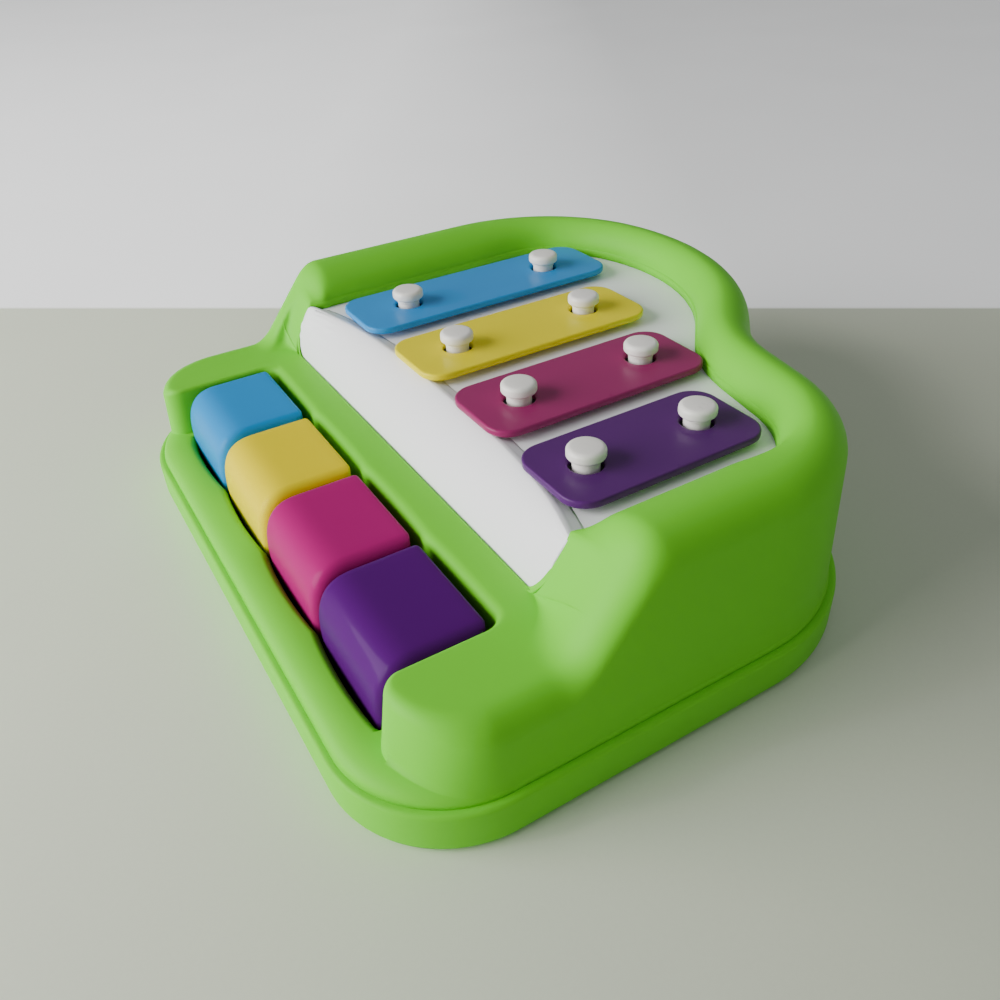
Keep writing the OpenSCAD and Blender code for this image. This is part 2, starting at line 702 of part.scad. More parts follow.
// Keys: a hollow cap with a lever behind it. The lever turns on the axle and carries the hammer.
pivot_d = 12;
lever_z = axle_z - lever_h / 2;
felt_t = 1.2;
stop_t = 2.8;
stop_len = 8;
stop_top_z = deck_z - wall - felt_t - seat_gap;
socket_d = stem_d + 4;
peg_d = stem_d - 1.4;
peg_h = 3;
front_rib_y = key_front_y + key_wall - join;
module key_side_shape(inset) {
  r = key_nose_r - inset;
  intersection() {
    union() {
      translate([key_front_y + key_nose_r, key_top_z - key_nose_r]) circle(r, $fn = 64);
      translate([key_front_y + key_nose_r, key_foot_z - 1])
        square([key_len - key_nose_r - inset, key_top_z - inset - key_foot_z + 1]);
      translate([key_front_y + inset, key_foot_z - 1])
        square([key_len - 2 * inset, key_top_z - key_nose_r - key_foot_z + 1]);
    }
    translate([key_front_y, key_foot_z]) square([key_len, key_top_z - key_foot_z]);
  }
}
module key_front_shape(inset) {
  r = key_edge_r;
  difference() {
    translate([-key_w / 2 + inset, key_foot_z - 1])
      square([key_w - 2 * inset, key_top_z - key_foot_z + 1 - inset]);
    for (m = [0, 1])
      mirror([m, 0]) translate([key_w / 2 - inset - r, key_top_z - inset - r]) difference() {
        square([r + 1, r + 1]);
        circle(r);
      }
  }
}
module key_plan_shape(inset) {
  half = key_w / 2 - inset;
  rounded_rect(-half, half, key_front_y + inset, key_back_y - inset, key_edge_r - inset / 2);
}
module key_body(inset) {
  intersection() {
    side_slab(0, key_w) key_side_shape(inset);
    translate([0, key_back_y, 0]) rotate([90, 0, 0]) linear_extrude(key_len) key_front_shape(inset);
    linear_extrude(key_top_z) key_plan_shape(inset);
  }
}
key_room_y = key_front_y + key_wall + key_nose_r / 2;
module key(k) {
  color(KEY_COLOURS[k]) from_front() translate([key_x(k), 0, 0]) difference() {
    union() {
      difference() {
        key_body(0);
        translate([0, 0, -0.01]) key_body(key_wall);
        translate([-key_w / 2 + key_wall, key_room_y, key_foot_z - 1])
          cube([key_w - 2 * key_wall, key_back_y - key_wall - key_room_y, 2]);
      }
      translate([-lever_w / 2, front_rib_y, lever_z])
        cube([lever_w, axle_y - front_rib_y, lever_h]);
      translate([-lever_w / 2, axle_y, axle_z]) rotate([0, 90, 0]) cylinder(d = pivot_d, h = lever_w);
      translate([-lever_w / 2, axle_y, lever_z]) cube([lever_w, strike_y(k) - axle_y, lever_h]);
      translate([0, strike_y(k), lever_z]) cylinder(d = max(lever_w, socket_d), h = lever_h);
      translate([-key_w / 2 + key_edge_r, key_back_y - join, stop_top_z - stop_t])
        cube([key_w - 2 * key_edge_r, stop_len + join, stop_t]);
    }
    translate([-key_w, axle_y, axle_z]) rotate([0, 90, 0])
      cylinder(d = axle_d + 2 * axle_play, h = 2 * key_w);
    upright([0, strike_y(k)], lever_z + lever_h - peg_h, peg_d + 2 * press_play, peg_h + 1);
  }
}
module key_blue() { key(0); }
module key_yellow() { key(1); }
module key_pink() { key(2); }
module key_purple() { key(3); }

// Hammers: a peg in the lever, a stem and a round head that stops just short of its bar
strike_gap = 0.4;
head_below = 10;
peg_short = 0.2;
function hammer_rise(k) =
  (strike_y(k) - axle_y) * sin(key_turn) - (bar_z - axle_z - head_below) * (1 - cos(key_turn));
function hammer_top(k) = bar_z - strike_gap - hammer_rise(k);
module hammer(k) {
  top = hammer_top(k);
  foot = lever_z + lever_h;
  color(WHITE) from_front() translate([key_x(k), strike_y(k), 0]) {
    upright([0, 0], foot - peg_h + peg_short, peg_d, peg_h + join);
    upright([0, 0], foot, stem_d, top - hammer_d / 2 - foot);
    translate([0, 0, top - hammer_d / 2]) sphere(d = hammer_d);
  }
}
module hammer_blue() { hammer(0); }
module hammer_yellow() { hammer(1); }
module hammer_pink() { hammer(2); }
module hammer_purple() { hammer(3); }

// Return springs: one unbroken wire, closed down to flat coils at both ends
spring_turns = 6;
spring_steps = 12;
wire_sides = 5;
end_turns = 0.9;
end_pitch = 1.05 * spring_wire;
spring_rise = spring_h - spring_wire;
open_turns = spring_turns - 2 * end_turns;
open_rise = spring_rise - 2 * end_turns * end_pitch;
function spring_lift(t) =
  t < end_turns ? t * end_pitch :
  t > spring_turns - end_turns ? spring_rise - (spring_turns - t) * end_pitch :
  end_turns * end_pitch + (t - end_turns) / open_turns * open_rise;
module spring(k) {
  n = spring_turns * spring_steps;
  color(STEEL) from_front() translate([key_x(k), spring_y, floor_t + spring_wire / 2])
    polyhedron(
      points = [
        for (i = [0:n], j = [0:wire_sides - 1])
          let (
            t = i / spring_steps,
            a = 360 * t,
            b = 360 * j / wire_sides,
            r = spring_d / 2 + spring_wire / 2 * cos(b)
          )
          [r * cos(a), r * sin(a), spring_lift(t) + spring_wire / 2 * sin(b)]
      ],
      faces = concat(
        [[for (j = [0:wire_sides - 1]) j]],
        [
          for (i = [0:n - 1], j = [0:wire_sides - 1])
            let (a = i * wire_sides + j, b = i * wire_sides + (j + 1) % wire_sides)
            each [[a, a + wire_sides, b + wire_sides], [a, b + wire_sides, b]]
        ],
        [[for (j = [wire_sides - 1:-1:0]) n * wire_sides + j]]
      )
    );
}
module spring_blue() { spring(0); }
module spring_yellow() { spring(1); }
module spring_pink() { spring(2); }
module spring_purple() { spring(3); }

// Sound bars: flat metal with a wide hole round each post
module bar(k) {
  color(KEY_COLOURS[k]) from_front() difference() {
    translate([bar_x(k), 0, bar_z]) linear_extrude(bar_t)
      rounded_rect(-bar_w / 2, bar_w / 2, bar_front(k), bar_front(k) + bar_len(k), bar_corner_r);
    for (e = [0, 1]) upright(post_at(k, e), bar_z - 1, bar_hole_d, bar_t + 2);
  }
}
module bar_blue() { bar(0); }
module bar_yellow() { bar(1); }
module bar_pink() { bar(2); }
module bar_purple() { bar(3); }

// Posts: a round-topped head on a neck that is pushed into the soundboard
head_t = 3.2;
head_round = 1.3;
module post(k, end) {
  top = bar_z + bar_t + post_h;
  foot = socket_foot_z + 1;
  color(WHITE) from_front() translate([bar_x(k), post_y(k, end), 0]) rotate_extrude() {
    translate([0, foot]) square([neck_d / 2, top - head_t + join - foot]);
    translate([0, top - head_t]) square([head_d / 2 - head_round, head_t]);
    translate([0, top - head_t + head_round]) square([head_d / 2, head_t - 2 * head_round]);
    for (z = [top - head_t + head_round, top - head_round])
      translate([head_d / 2 - head_round, z]) circle(head_round);
  }
}
module post_blue_front() { post(0, 0); }
module post_blue_back() { post(0, 1); }
module post_yellow_front() { post(1, 0); }
module post_yellow_back() { post(1, 1); }
module post_pink_front() { post(2, 0); }
module post_pink_back() { post(2, 1); }
module post_purple_front() { post(3, 0); }
module post_purple_back() { post(3, 1); }

// Felt: a washer under the bar at each post, a strip that the keys rest against and one for landing
washer_d = bar_hole_d + 3.4;
module felt_washers() {
  color(FELT) from_front() for (k = [0:key_count - 1], e = [0, 1]) difference() {
    upright(post_at(k, e), board_z, washer_d, washer_t);
    upright(post_at(k, e), board_z - 1, neck_d + 2 * seat_gap, washer_t + 2);
  }
}
rest_half = well_half - 2;
rest_y = well_back_y + 0.6;
module rest_felt() {
  color(FELT) from_front() translate([-rest_half, rest_y, deck_z - wall - felt_t])
    cube([2 * rest_half, key_back_y + stop_len - rest_y, felt_t]);
}
landing_top_z = key_foot_z - (axle_y - key_front_y) * sin(key_turn) - seat_gap;
landing_half = well_half - 4;
landing_y = key_front_y - 1;
module landing_felt() {
  color(FELT) from_front() translate([-landing_half, landing_y, floor_t])
    cube([2 * landing_half, landing_w, landing_top_z - floor_t]);
}

// Screws, each head in its recess
module screw(l) {
  cylinder(d = screw_head_d, h = screw_head_h);
  translate([0, 0, screw_head_h - join]) cylinder(d = screw_d, h = l + join);
}
module casing_screws() {
  color(STEEL) from_front() for (b = CASING_BOSSES)
    translate([b[0], b[1], head_recess]) screw(screw_len - head_recess - screw_head_h - 0.6);
}
module soundboard_screws() {
  color(STEEL) from_front() for (b = BOARD_BOSSES)
    translate([b[0], b[1], board_z - board_t - screw_head_h]) screw(board_screw_len - 0.5);
}

casing();
tray();
soundboard();
axle_rod();
axle_clips();
key_blue();
key_yellow();
key_pink();
key_purple();
hammer_blue();
hammer_yellow();
hammer_pink();
hammer_purple();
spring_blue();
spring_yellow();
spring_pink();
spring_purple();
bar_blue();
bar_yellow();
bar_pink();
bar_purple();
post_blue_front();
post_blue_back();
post_yellow_front();
post_yellow_back();
post_pink_front();
post_pink_back();
post_purple_front();
post_purple_back();
felt_washers();
rest_felt();
landing_felt();
casing_screws();
soundboard_screws();
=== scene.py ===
import math

import bmesh
import bpy
import numpy as np
from mathutils import Matrix, Vector


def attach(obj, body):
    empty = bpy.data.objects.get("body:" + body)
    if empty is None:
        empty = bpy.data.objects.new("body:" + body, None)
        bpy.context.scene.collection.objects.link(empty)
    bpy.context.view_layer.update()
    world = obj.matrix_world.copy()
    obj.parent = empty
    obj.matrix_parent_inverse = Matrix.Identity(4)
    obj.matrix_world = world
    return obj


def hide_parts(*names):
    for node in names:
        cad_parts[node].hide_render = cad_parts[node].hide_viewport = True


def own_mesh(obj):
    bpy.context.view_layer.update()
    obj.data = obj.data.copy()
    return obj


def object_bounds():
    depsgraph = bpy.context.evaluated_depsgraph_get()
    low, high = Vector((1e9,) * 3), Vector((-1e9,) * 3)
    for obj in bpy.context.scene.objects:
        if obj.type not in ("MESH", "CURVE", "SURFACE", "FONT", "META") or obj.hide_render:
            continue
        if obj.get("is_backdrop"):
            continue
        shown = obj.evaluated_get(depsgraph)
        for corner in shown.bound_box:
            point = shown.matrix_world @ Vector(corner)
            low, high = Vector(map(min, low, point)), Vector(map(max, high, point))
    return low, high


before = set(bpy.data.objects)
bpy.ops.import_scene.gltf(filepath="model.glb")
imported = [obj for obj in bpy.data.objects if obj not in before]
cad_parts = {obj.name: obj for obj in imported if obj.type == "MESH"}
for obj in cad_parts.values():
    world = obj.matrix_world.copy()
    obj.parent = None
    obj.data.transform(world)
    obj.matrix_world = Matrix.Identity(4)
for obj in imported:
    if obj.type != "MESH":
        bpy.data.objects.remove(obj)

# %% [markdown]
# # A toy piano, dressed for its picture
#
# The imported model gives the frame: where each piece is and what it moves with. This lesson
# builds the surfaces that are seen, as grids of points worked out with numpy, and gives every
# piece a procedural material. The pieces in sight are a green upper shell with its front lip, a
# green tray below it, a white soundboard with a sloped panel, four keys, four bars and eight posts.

size_at_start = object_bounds()
low, high = np.array(size_at_start[0]), np.array(size_at_start[1])
print("frame:", len(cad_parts), "nodes, size in mm", np.round((high - low) * 1000, 1))

# %% [markdown]
# ## Measures
#
# All sizes are in millimetres, seen from the front: x to the player's right from the middle, y
# from the front edge to the back, z up from the table. One function turns such points into the
# frame's metres, so the numbers here stay the ones that a maker would measure.

# %% Driving sizes
MM = 0.001
BODY_DEPTH = 205.81958
HALF_WIDTH = 110.0
RIGHT_R, LEFT_R = 33.0, 40.0
FOOT_IN = 2.0
GROOVE_Z = 12.8
DECK_Z = 34.5
RIM_Z = 61.7
WELL_HALF = 80.2
WELL_BACK_Y = 47.6
WELL_CORNER_R = 5.0
OPENING_Y = 59.0
OPENING_R = 8.0
OPENING_END_Y = OPENING_Y + OPENING_R
BOARD_Z = 49.6
BAR_Z = 51.6
BAR_T = 2.2
AXLE_Y, AXLE_Z = 64.0, 16.0
KEY_PITCH = 40.0
KEY_XS = {"blue": -60.0, "yellow": -20.0, "pink": 20.0, "purple": 60.0}
COLOURS = list(KEY_XS)


def to_frame(points):
    """Front-edge millimetres to the frame's metres."""
    return (np.asarray(points, float) - np.array([0, BODY_DEPTH / 2, 0])) * MM


def ease(t):
    """Smooth rise from 0 to 1 with level ends."""
    t = np.clip(t, 0, 1)
    return t * t * (3 - 2 * t)


def above(a, b, width):
    """The higher of two heights, with a soft fold where they cross."""
    return np.maximum(a, b) + np.maximum(width - np.abs(a - b), 0) ** 2 / (4 * width)


def below(a, b, width):
    """The lower of two heights, with a soft fold where they cross."""
    return -above(-a, -b, width)


def blend(a, b, share):
    """A straight mix: a at share 0 and b at share 1."""
    return a + (b - a) * share


def scallop(x):
    """0 at a key's middle and 1 at the cusp between two: the square of the distance in half keys."""
    keys_away = (x - KEY_XS["purple"]) / KEY_PITCH
    t = 2 * (keys_away - np.round(keys_away))
    return t * t


print("deck", DECK_Z, "mm above the table, rim", RIM_Z)

# %% [markdown]
# ## From points to a mesh
#
# Every new piece below is a grid of points. Its faces follow from the grid's size alone, so one
# helper numbers them for all the pieces, and another welds the points that fall together.
# Walls get their thickness from Solidify, which works inward because the faces point outward.

# %% Mesh helpers
def grid_faces(rows, cols, round_rows=False, round_cols=False):
    """Four-cornered faces of a grid of points; a round direction joins its end to its start."""
    r = np.arange(rows if round_rows else rows - 1)[:, None]
    c = np.arange(cols if round_cols else cols - 1)[None, :]
    r2, c2 = (r + 1) % rows, (c + 1) % cols
    corners = [r * cols + c, r2 * cols + c, r2 * cols + c2, r * cols + c2]
    return np.stack(corners, -1).reshape(-1, 4)


def build(name, points, faces, weld=0.002, sharp=35.0):
    """A mesh object from front-edge millimetres, with close points welded."""
    mesh = bpy.data.meshes.new(name)
    mesh.from_pydata(to_frame(points).reshape(-1, 3).tolist(), [], np.asarray(faces).tolist())
    work = bmesh.new()
    work.from_mesh(mesh)
    bmesh.ops.remove_doubles(work, verts=work.verts, dist=weld * MM)
    bmesh.ops.dissolve_degenerate(work, edges=work.edges, dist=weld * MM * 0.1)
    loose = [v for v in work.verts if not v.link_faces]
    bmesh.ops.delete(work, geom=loose, context="VERTS")
    work.to_mesh(mesh)
    work.free()
    mesh.shade_smooth()
    mesh.set_sharp_from_angle(angle=math.radians(sharp))
    piece = bpy.data.objects.new(name, mesh)
    bpy.context.scene.collection.objects.link(piece)
    return piece


SHELL_WALL, SKIN_WALL, PANEL_WALL, CAP_WALL = 1.4, 0.8, 0.9, 1.6


def add_solidify(piece, thickness):
    """Gives a sheet its thickness, inward from its faces."""
    shell = piece.modifiers.new("thickness", "SOLIDIFY")
    shell.thickness = thickness * MM
    shell.offset = -1.0


def add_bevel(piece, width):
    """Rounds the edges where faces meet at more than 40 degrees."""
    bevel = piece.modifiers.new("edges", "BEVEL")
    bevel.width = width * MM
    bevel.segments = 3
    bevel.limit_method = "ANGLE"
    bevel.angle_limit = math.radians(40.0)


# %% [markdown]
# ## The outline
#
# Seen from above the skirt is a chain of straight runs and arcs. Walking along it gives, at each
# step, a point and a heading; the outward side is always a quarter turn to the right of the
# heading. The last arc is worked out so that the walk ends exactly on the left side.

# %% Outline
def swing(point, radius, start, end):
    """End point of an arc walked from one heading to another."""
    a, b = np.radians(start), np.radians(end)
    x = point[0] + radius * (np.sin(b) - np.sin(a))
    y = point[1] + radius * (np.cos(a) - np.cos(b))
    return np.stack([x, y], -1)


def ahead(point, run, heading):
    """End point of a straight run."""
    a = math.radians(heading)
    return np.array([point[0] + run * math.cos(a), point[1] + run * math.sin(a)])


TAIL_START = np.array([HALF_WIDTH, 111.0])
TAIL_R, WAIST_R, BULGE_R = 53.0, -36.0, 90.0
TAIL_RUN, WAIST_RUN = 16.0, 12.0
H_TAIL, H_WAIST, H_BULGE = 170.0, 138.0, 196.0
tail_end = swing(TAIL_START, TAIL_R, 90, H_TAIL)
waist_start = ahead(tail_end, TAIL_RUN, H_TAIL)
waist_end = swing(waist_start, WAIST_R, H_TAIL, H_WAIST)
bulge_start = ahead(waist_end, WAIST_RUN, H_WAIST)
bulge_end = swing(bulge_start, BULGE_R, H_WAIST, H_BULGE)
shoulder_r = (bulge_end[0] + HALF_WIDTH) / (1 + math.sin(math.radians(H_BULGE)))
left_side_y = bulge_end[1] + shoulder_r * math.cos(math.radians(H_BULGE))


def arc_walk(point, radius, start, end, spacing):
    """Points and headings along an arc, without its end point."""
    count = max(3, int(abs(math.radians(end - start) * radius) / spacing))
    headings = np.linspace(start, end, count, endpoint=False)
    return np.column_stack([swing(point, radius, start, headings), headings])


def straight_walk(start, end, heading, spacing):
    """Points and headings along a straight run, without its end point."""
    start, end = np.array(start), np.array(end)
    count = max(2, int(np.hypot(*(end - start)) / spacing))
    t = np.linspace(0, 1, count, endpoint=False)[:, None]
    return np.column_stack([start + (end - start) * t, np.full(count, heading)])


def rear_walk(spacing):
    """Points and headings of the skirt from the right side's end to the left side's end."""
    return np.concatenate([
        arc_walk(TAIL_START, TAIL_R, 90, H_TAIL, spacing),
        straight_walk(tail_end, waist_start, H_TAIL, spacing),
        arc_walk(waist_start, WAIST_R, H_TAIL, H_WAIST, spacing),
        straight_walk(waist_end, bulge_start, H_WAIST, spacing),
        arc_walk(bulge_start, BULGE_R, H_WAIST, H_BULGE, spacing),
        arc_walk(bulge_end, shoulder_r, H_BULGE, 270, spacing),
    ])


def skirt_walk(spacing):
    """The whole skirt, anticlockwise from the middle of the front edge."""
    right, left = HALF_WIDTH - RIGHT_R, HALF_WIDTH - LEFT_R
    corner_spacing = spacing * 0.6
    return np.concatenate([
        straight_walk([0, 0], [right, 0], 0, spacing),
        arc_walk([right, 0], RIGHT_R, 0, 90, corner_spacing),
        straight_walk([HALF_WIDTH, RIGHT_R], TAIL_START, 90, spacing),
        rear_walk(spacing),
        straight_walk([-HALF_WIDTH, left_side_y], [-HALF_WIDTH, LEFT_R], 270, spacing),
        arc_walk([-HALF_WIDTH, LEFT_R], LEFT_R, 270, 360, corner_spacing),
        straight_walk([-left, 0], [0, 0], 360, spacing),
    ])


def outward(headings):
    """Unit steps to the right of each heading."""
    a = np.radians(headings)
    return np.column_stack([np.sin(a), -np.cos(a)])


SPACING = 2.0
skirt = skirt_walk(SPACING)
print("skirt:", len(skirt), "stations, rear edge at", round(skirt[:, 1].max(), 2))

# %% [markdown]
# ## The green shell
#
# The shell could be carved from a block, but its edges change all the way round: tight beside
# the keys, wide at the front corners, wider still at the rim. So it is one closed band instead.
# Each station of the band has a wall line, a rounding, a crest height and a target, which is
# where its top surface ends: the middle of a cheek, the panel's opening or the rim's inner edge.
# Where two stations share a target their points are welded, which closes the cheeks and the deck.
# Below, the outer walls meet a ledge that rolls down to the groove.

# %% Shell stations
MEDIAL_X = 89.0
POLE_Y = 31.0
RAMP_START_Y = 52.0
RAMP_SLOPE = 1.32
DECK_BEND, RIM_BEND = 6.0, 5.0
RIM_WIDTH = 27.5
RIM_REAR_WIDTH = 20.8
RIM_TURN = 42
RIM_FOOT_Z = 52.6
WALL_IN = 3.4
RIM_DRAFT = 0.7
LEDGE_REACH, LEDGE_RISE, LEDGE_POWER = 8.6, 4.8, 2.2
LEAN_SHARE, SIDE_LEAN = 0.34, 0.7
WELL_ROUND, BAR_ROUND, FACE_ROUND, SIDE_ROUND = 1.3, 2.8, 3.6, 7.2
RIM_ROUND = 1.8
WELL_LOW_Z, WELL_MEET_Z = 12.0, 17.0
WELL_CUSP = 0.6
EDGE_Z = DECK_Z - 0.2
FLARE = 8.5
SLOPE_POWER, HUMP_POWER = 1.5, 1.8
EDGE_OUT, EDGE_DOWN = np.array([0.0, 0.35, 0.5, 0.5]), np.array([0.06, 0.2, 0.6, 2.8])
WALL_COLS, LEDGE_COLS = 14, 9
BEND_COLS, CREST_COLS = 10, 16


def ramp_z(y):
    """Height of the crest: level deck, straight ramp, level rim, with soft bends."""
    line = DECK_Z + RAMP_SLOPE * (y - RAMP_START_Y)
    return below(above(line, DECK_Z, DECK_BEND), RIM_Z, RIM_BEND)


def ledge_z(inset):
    """Height of the rolled ledge at a distance in from the groove: a quarter of a squarish oval."""
    left = 1 - np.clip(inset / LEDGE_REACH, 0, 1)
    return GROOVE_Z + LEDGE_RISE * (1 - left ** LEDGE_POWER) ** (1 / LEDGE_POWER)


def rim_width(headings):
    """Wide beside the bars and narrower behind them, eased over the first turn of the heading."""
    away = np.minimum(headings - 90, 270 - headings)
    return blend(RIM_WIDTH, RIM_REAR_WIDTH, ease(away / RIM_TURN))


def foot_of(wall, corner_r):
    """Where the groove runs below points of the right wall: the nearest point of its line."""
    centre = np.array([HALF_WIDTH - corner_r, corner_r])
    arm = wall - centre
    on_arc = centre + (corner_r - FOOT_IN) * arm / np.linalg.norm(arm, axis=1, keepdims=True)
    on_side = np.column_stack([np.full(len(wall), HALF_WIDTH - FOOT_IN), wall[:, 1]])
    return np.where(wall[:, 1:] < corner_r, on_arc, on_side)


def station_set(count, **fields):
    """Named columns for some stations of the band. A name that is left out is filled with 0."""
    widths = {"top": 2, "foot": 2, "out": 2, "target": 2, "target_z": 0, "round": 0, "crest": 0,
              "ledge": 0, "lean": 0, "meet_z": 0, "rim": 0, "edge": 0}
    out = {}
    for name, width in widths.items():
        shape = (count, width) if width else (count,)
        out[name] = np.broadcast_to(np.asarray(fields.get(name, 0.0), float), shape).copy()
    return out


def join_sets(sets):
    """Several sets of stations, one after another."""
    return {name: np.concatenate([s[name] for s in sets]) for name in sets[0]}


def mirrored(s):
    """The same stations on the left side, in the order that keeps the walk going one way round."""
    out = {name: values[::-1].copy() for name, values in s.items()}
    for name in ("top", "foot", "out", "target"):
        out[name][:, 0] *= -1
    return out


def cheek_target(t):
    """The middle of the right cheek's rear end, bending in to the corner of the panel's opening."""
    a = t * np.pi / 2
    corner = np.array([WELL_HALF - OPENING_R, WELL_BACK_Y - WELL_CORNER_R])
    reach = np.array([MEDIAL_X - corner[0], OPENING_Y - corner[1]])
    return corner + np.column_stack([reach[0] * np.cos(a), reach[1] * np.sin(a)])


def well_corner(count):
    """Rear right corner of the well, walked from the rear wall to the side wall."""
    t = np.linspace(1, 0, count + 2)[1:-1]
    a = t * np.pi / 2
    out = -np.column_stack([np.cos(a), np.sin(a)])
    centre = np.array([WELL_HALF - WELL_CORNER_R, WELL_BACK_Y - WELL_CORNER_R])
    wall = centre - WELL_CORNER_R * out
    return station_set(count, top=wall, foot=wall, out=out, target=cheek_target(t),
                       target_z=DECK_Z, round=blend(WELL_ROUND, BAR_ROUND, ease(t)),
                       crest=DECK_Z, meet_z=WELL_MEET_Z)


def well_rear(count):
    """Rear wall of the well from left to right, with a slight cusp between neighbouring keys."""
    half = WELL_HALF - WELL_CORNER_R
    x = np.linspace(-half, half, count)
    wall = np.column_stack([x, WELL_BACK_Y - WELL_CUSP * scallop(x) * (np.abs(x) < KEY_XS["purple"])])
    target = np.column_stack([x * (WELL_HALF - OPENING_R) / half, np.full(count, OPENING_Y)])
    return station_set(count, top=wall, foot=wall, out=[0, -1], target=target,
                       target_z=EDGE_Z, round=BAR_ROUND, crest=DECK_Z, meet_z=WELL_MEET_Z,
                       edge=1.0)


# %% [markdown]
# A pillar's plan, at the top of its wall, is a small arc beside the key and then a quarter of an
# oval that meets the side. The place where the two touch is found by trying many angles. The two
# pillars are not alike: the left one has a rounder corner below it and stands nearer the front.

# %% Pillars
OVAL_MIDDLE = np.array([79.0, POLE_Y])
PILLAR_R = 6.0
FRONT_Y = {RIGHT_R: 13.3, LEFT_R: 8.3}


def on_oval(a, corner_r):
    """Points of the pillar's oval, and its outward sides, at angles from straight ahead."""
    wide, deep = HALF_WIDTH - WALL_IN - OVAL_MIDDLE[0], POLE_Y - FRONT_Y[corner_r]
    point = OVAL_MIDDLE + np.column_stack([wide * np.sin(a), -deep * np.cos(a)])
    side = np.column_stack([deep * np.sin(a), -wide * np.cos(a)])
    return point, side / np.linalg.norm(side, axis=1, keepdims=True)


def find_touch(corner_r):
    """The oval's angle where an arc beside the key touches it, with its point and outward side."""
    tried = np.linspace(0.01, 0.8, 4000)
    point, side = on_oval(tried, corner_r)
    angle = float(np.interp(WELL_HALF + PILLAR_R, (point - PILLAR_R * side)[:, 0], tried))
    point, side = on_oval(np.array([angle]), corner_r)
    return angle, point, side


TOUCH = {r: find_touch(r) for r in (RIGHT_R, LEFT_R)}


def touch_meet(corner_r):
    """At the touching place: the plan step from wall top to ledge, and the ledge's height there."""
    touch_point = TOUCH[corner_r][1]
    to_foot = foot_of(touch_point, corner_r)[0] - touch_point[0]
    inset = np.linalg.norm(to_foot) * (1 - LEAN_SHARE)
    return to_foot * LEAN_SHARE, float(ledge_z(inset)), inset


def well_side(ys, corner_r, moved=0.0):
    """Right wall of the key well, walked from the back to the front."""
    step, meet_z, _ = touch_meet(corner_r)
    wall = np.column_stack([np.full(len(ys), WELL_HALF), ys])
    foot = wall + np.column_stack([np.zeros(len(ys)), np.broadcast_to(moved, ys.shape) * step[1]])
    target = np.column_stack([np.full(len(ys), MEDIAL_X), np.maximum(ys, POLE_Y)])
    return station_set(len(ys), top=wall, foot=foot, out=[-1, 0], target=target, target_z=DECK_Z,
                       round=WELL_ROUND, crest=DECK_Z, meet_z=meet_z)


def pillar_arc(count, corner_r):
    """The small arc beside the key, walked from the well to the front face."""
    step, meet_z, _ = touch_meet(corner_r)
    _, touch_point, touch_side = TOUCH[corner_r]
    centre = (touch_point - PILLAR_R * touch_side)[0]
    last = math.atan2(touch_side[0, 0], -touch_side[0, 1])
    t = np.linspace(0, 1, count + 1)[1:]
    a = blend(-np.pi / 2, last, t)
    out = np.column_stack([np.sin(a), -np.cos(a)])
    wall = centre + PILLAR_R * out
    foot = wall + np.column_stack([step[0] * ease(t), np.full(count, step[1])])
    return station_set(count, top=wall, foot=foot, out=out, target=[MEDIAL_X, POLE_Y],
                       target_z=DECK_Z, round=blend(WELL_ROUND, FACE_ROUND, ease(t)),
                       crest=DECK_Z, meet_z=meet_z)


def pillar_front(count, corner_r):
    """The pillar's front and outer face, walked round to the side."""
    t = np.linspace(0, 1, count + 1)[:-1]
    wall, out = on_oval(blend(TOUCH[corner_r][0], np.pi / 2, t), corner_r)
    return station_set(count, top=wall, foot=foot_of(wall, corner_r), out=out,
                       target=[MEDIAL_X, POLE_Y], target_z=DECK_Z, crest=DECK_Z, ledge=1.0,
                       lean=blend(LEAN_SHARE, SIDE_LEAN, ease(t * 1.4)),
                       round=blend(FACE_ROUND, SIDE_ROUND, ease(t * 1.15)))


# %% [markdown]
# Behind a pillar the right side is walked to the tail, past the cheek, round the corner of the
# panel's opening and up the ramp. The left side is the same walk mirrored, with its own corner.

# %% Sides and rear
RAMP_END_Y, RUN_START_Y, RUN_SPACING = 80, 84, 4.0
EDGE_POWER = 0.9
cheek_ys = np.linspace(POLE_Y, WELL_BACK_Y - WELL_CORNER_R, 9)
turn_target = cheek_target(np.linspace(0, 1, 14)[1:-1])
opening_a = np.linspace(-np.pi / 2, 0, 14)
opening_middle = np.array([WELL_HALF - OPENING_R, OPENING_END_Y])
opening_arm = OPENING_R * np.column_stack([np.cos(opening_a), np.sin(opening_a)])
opening_target = opening_middle + opening_arm
beyond_ys = np.linspace(OPENING_END_Y, RAMP_END_Y, 14)[1:]
run_ys = np.arange(RUN_START_Y, TAIL_START[1], RUN_SPACING)


def side_stations(ys, target, target_z, edge, rim, corner_r):
    """The right side at given distances from the front."""
    crest = ramp_z(ys)
    rise = (crest - DECK_Z) / (RIM_Z - DECK_Z)
    wall = np.column_stack([HALF_WIDTH - WALL_IN - RIM_DRAFT * rise, ys])
    return station_set(len(ys), top=wall, foot=foot_of(wall, corner_r), out=[1, 0],
                       target=target, target_z=target_z, round=SIDE_ROUND + RIM_ROUND * rise,
                       crest=crest, ledge=1.0, lean=SIDE_LEAN, edge=edge, rim=rim)


def edge_z(y):
    """Height of the shell's inner edge beside the sloped panel, from the deck to the rim's foot."""
    share = np.clip((y - OPENING_Y) / OPENING_R, 0, 1) ** EDGE_POWER
    return blend(EDGE_Z, RIM_FOOT_Z, share)


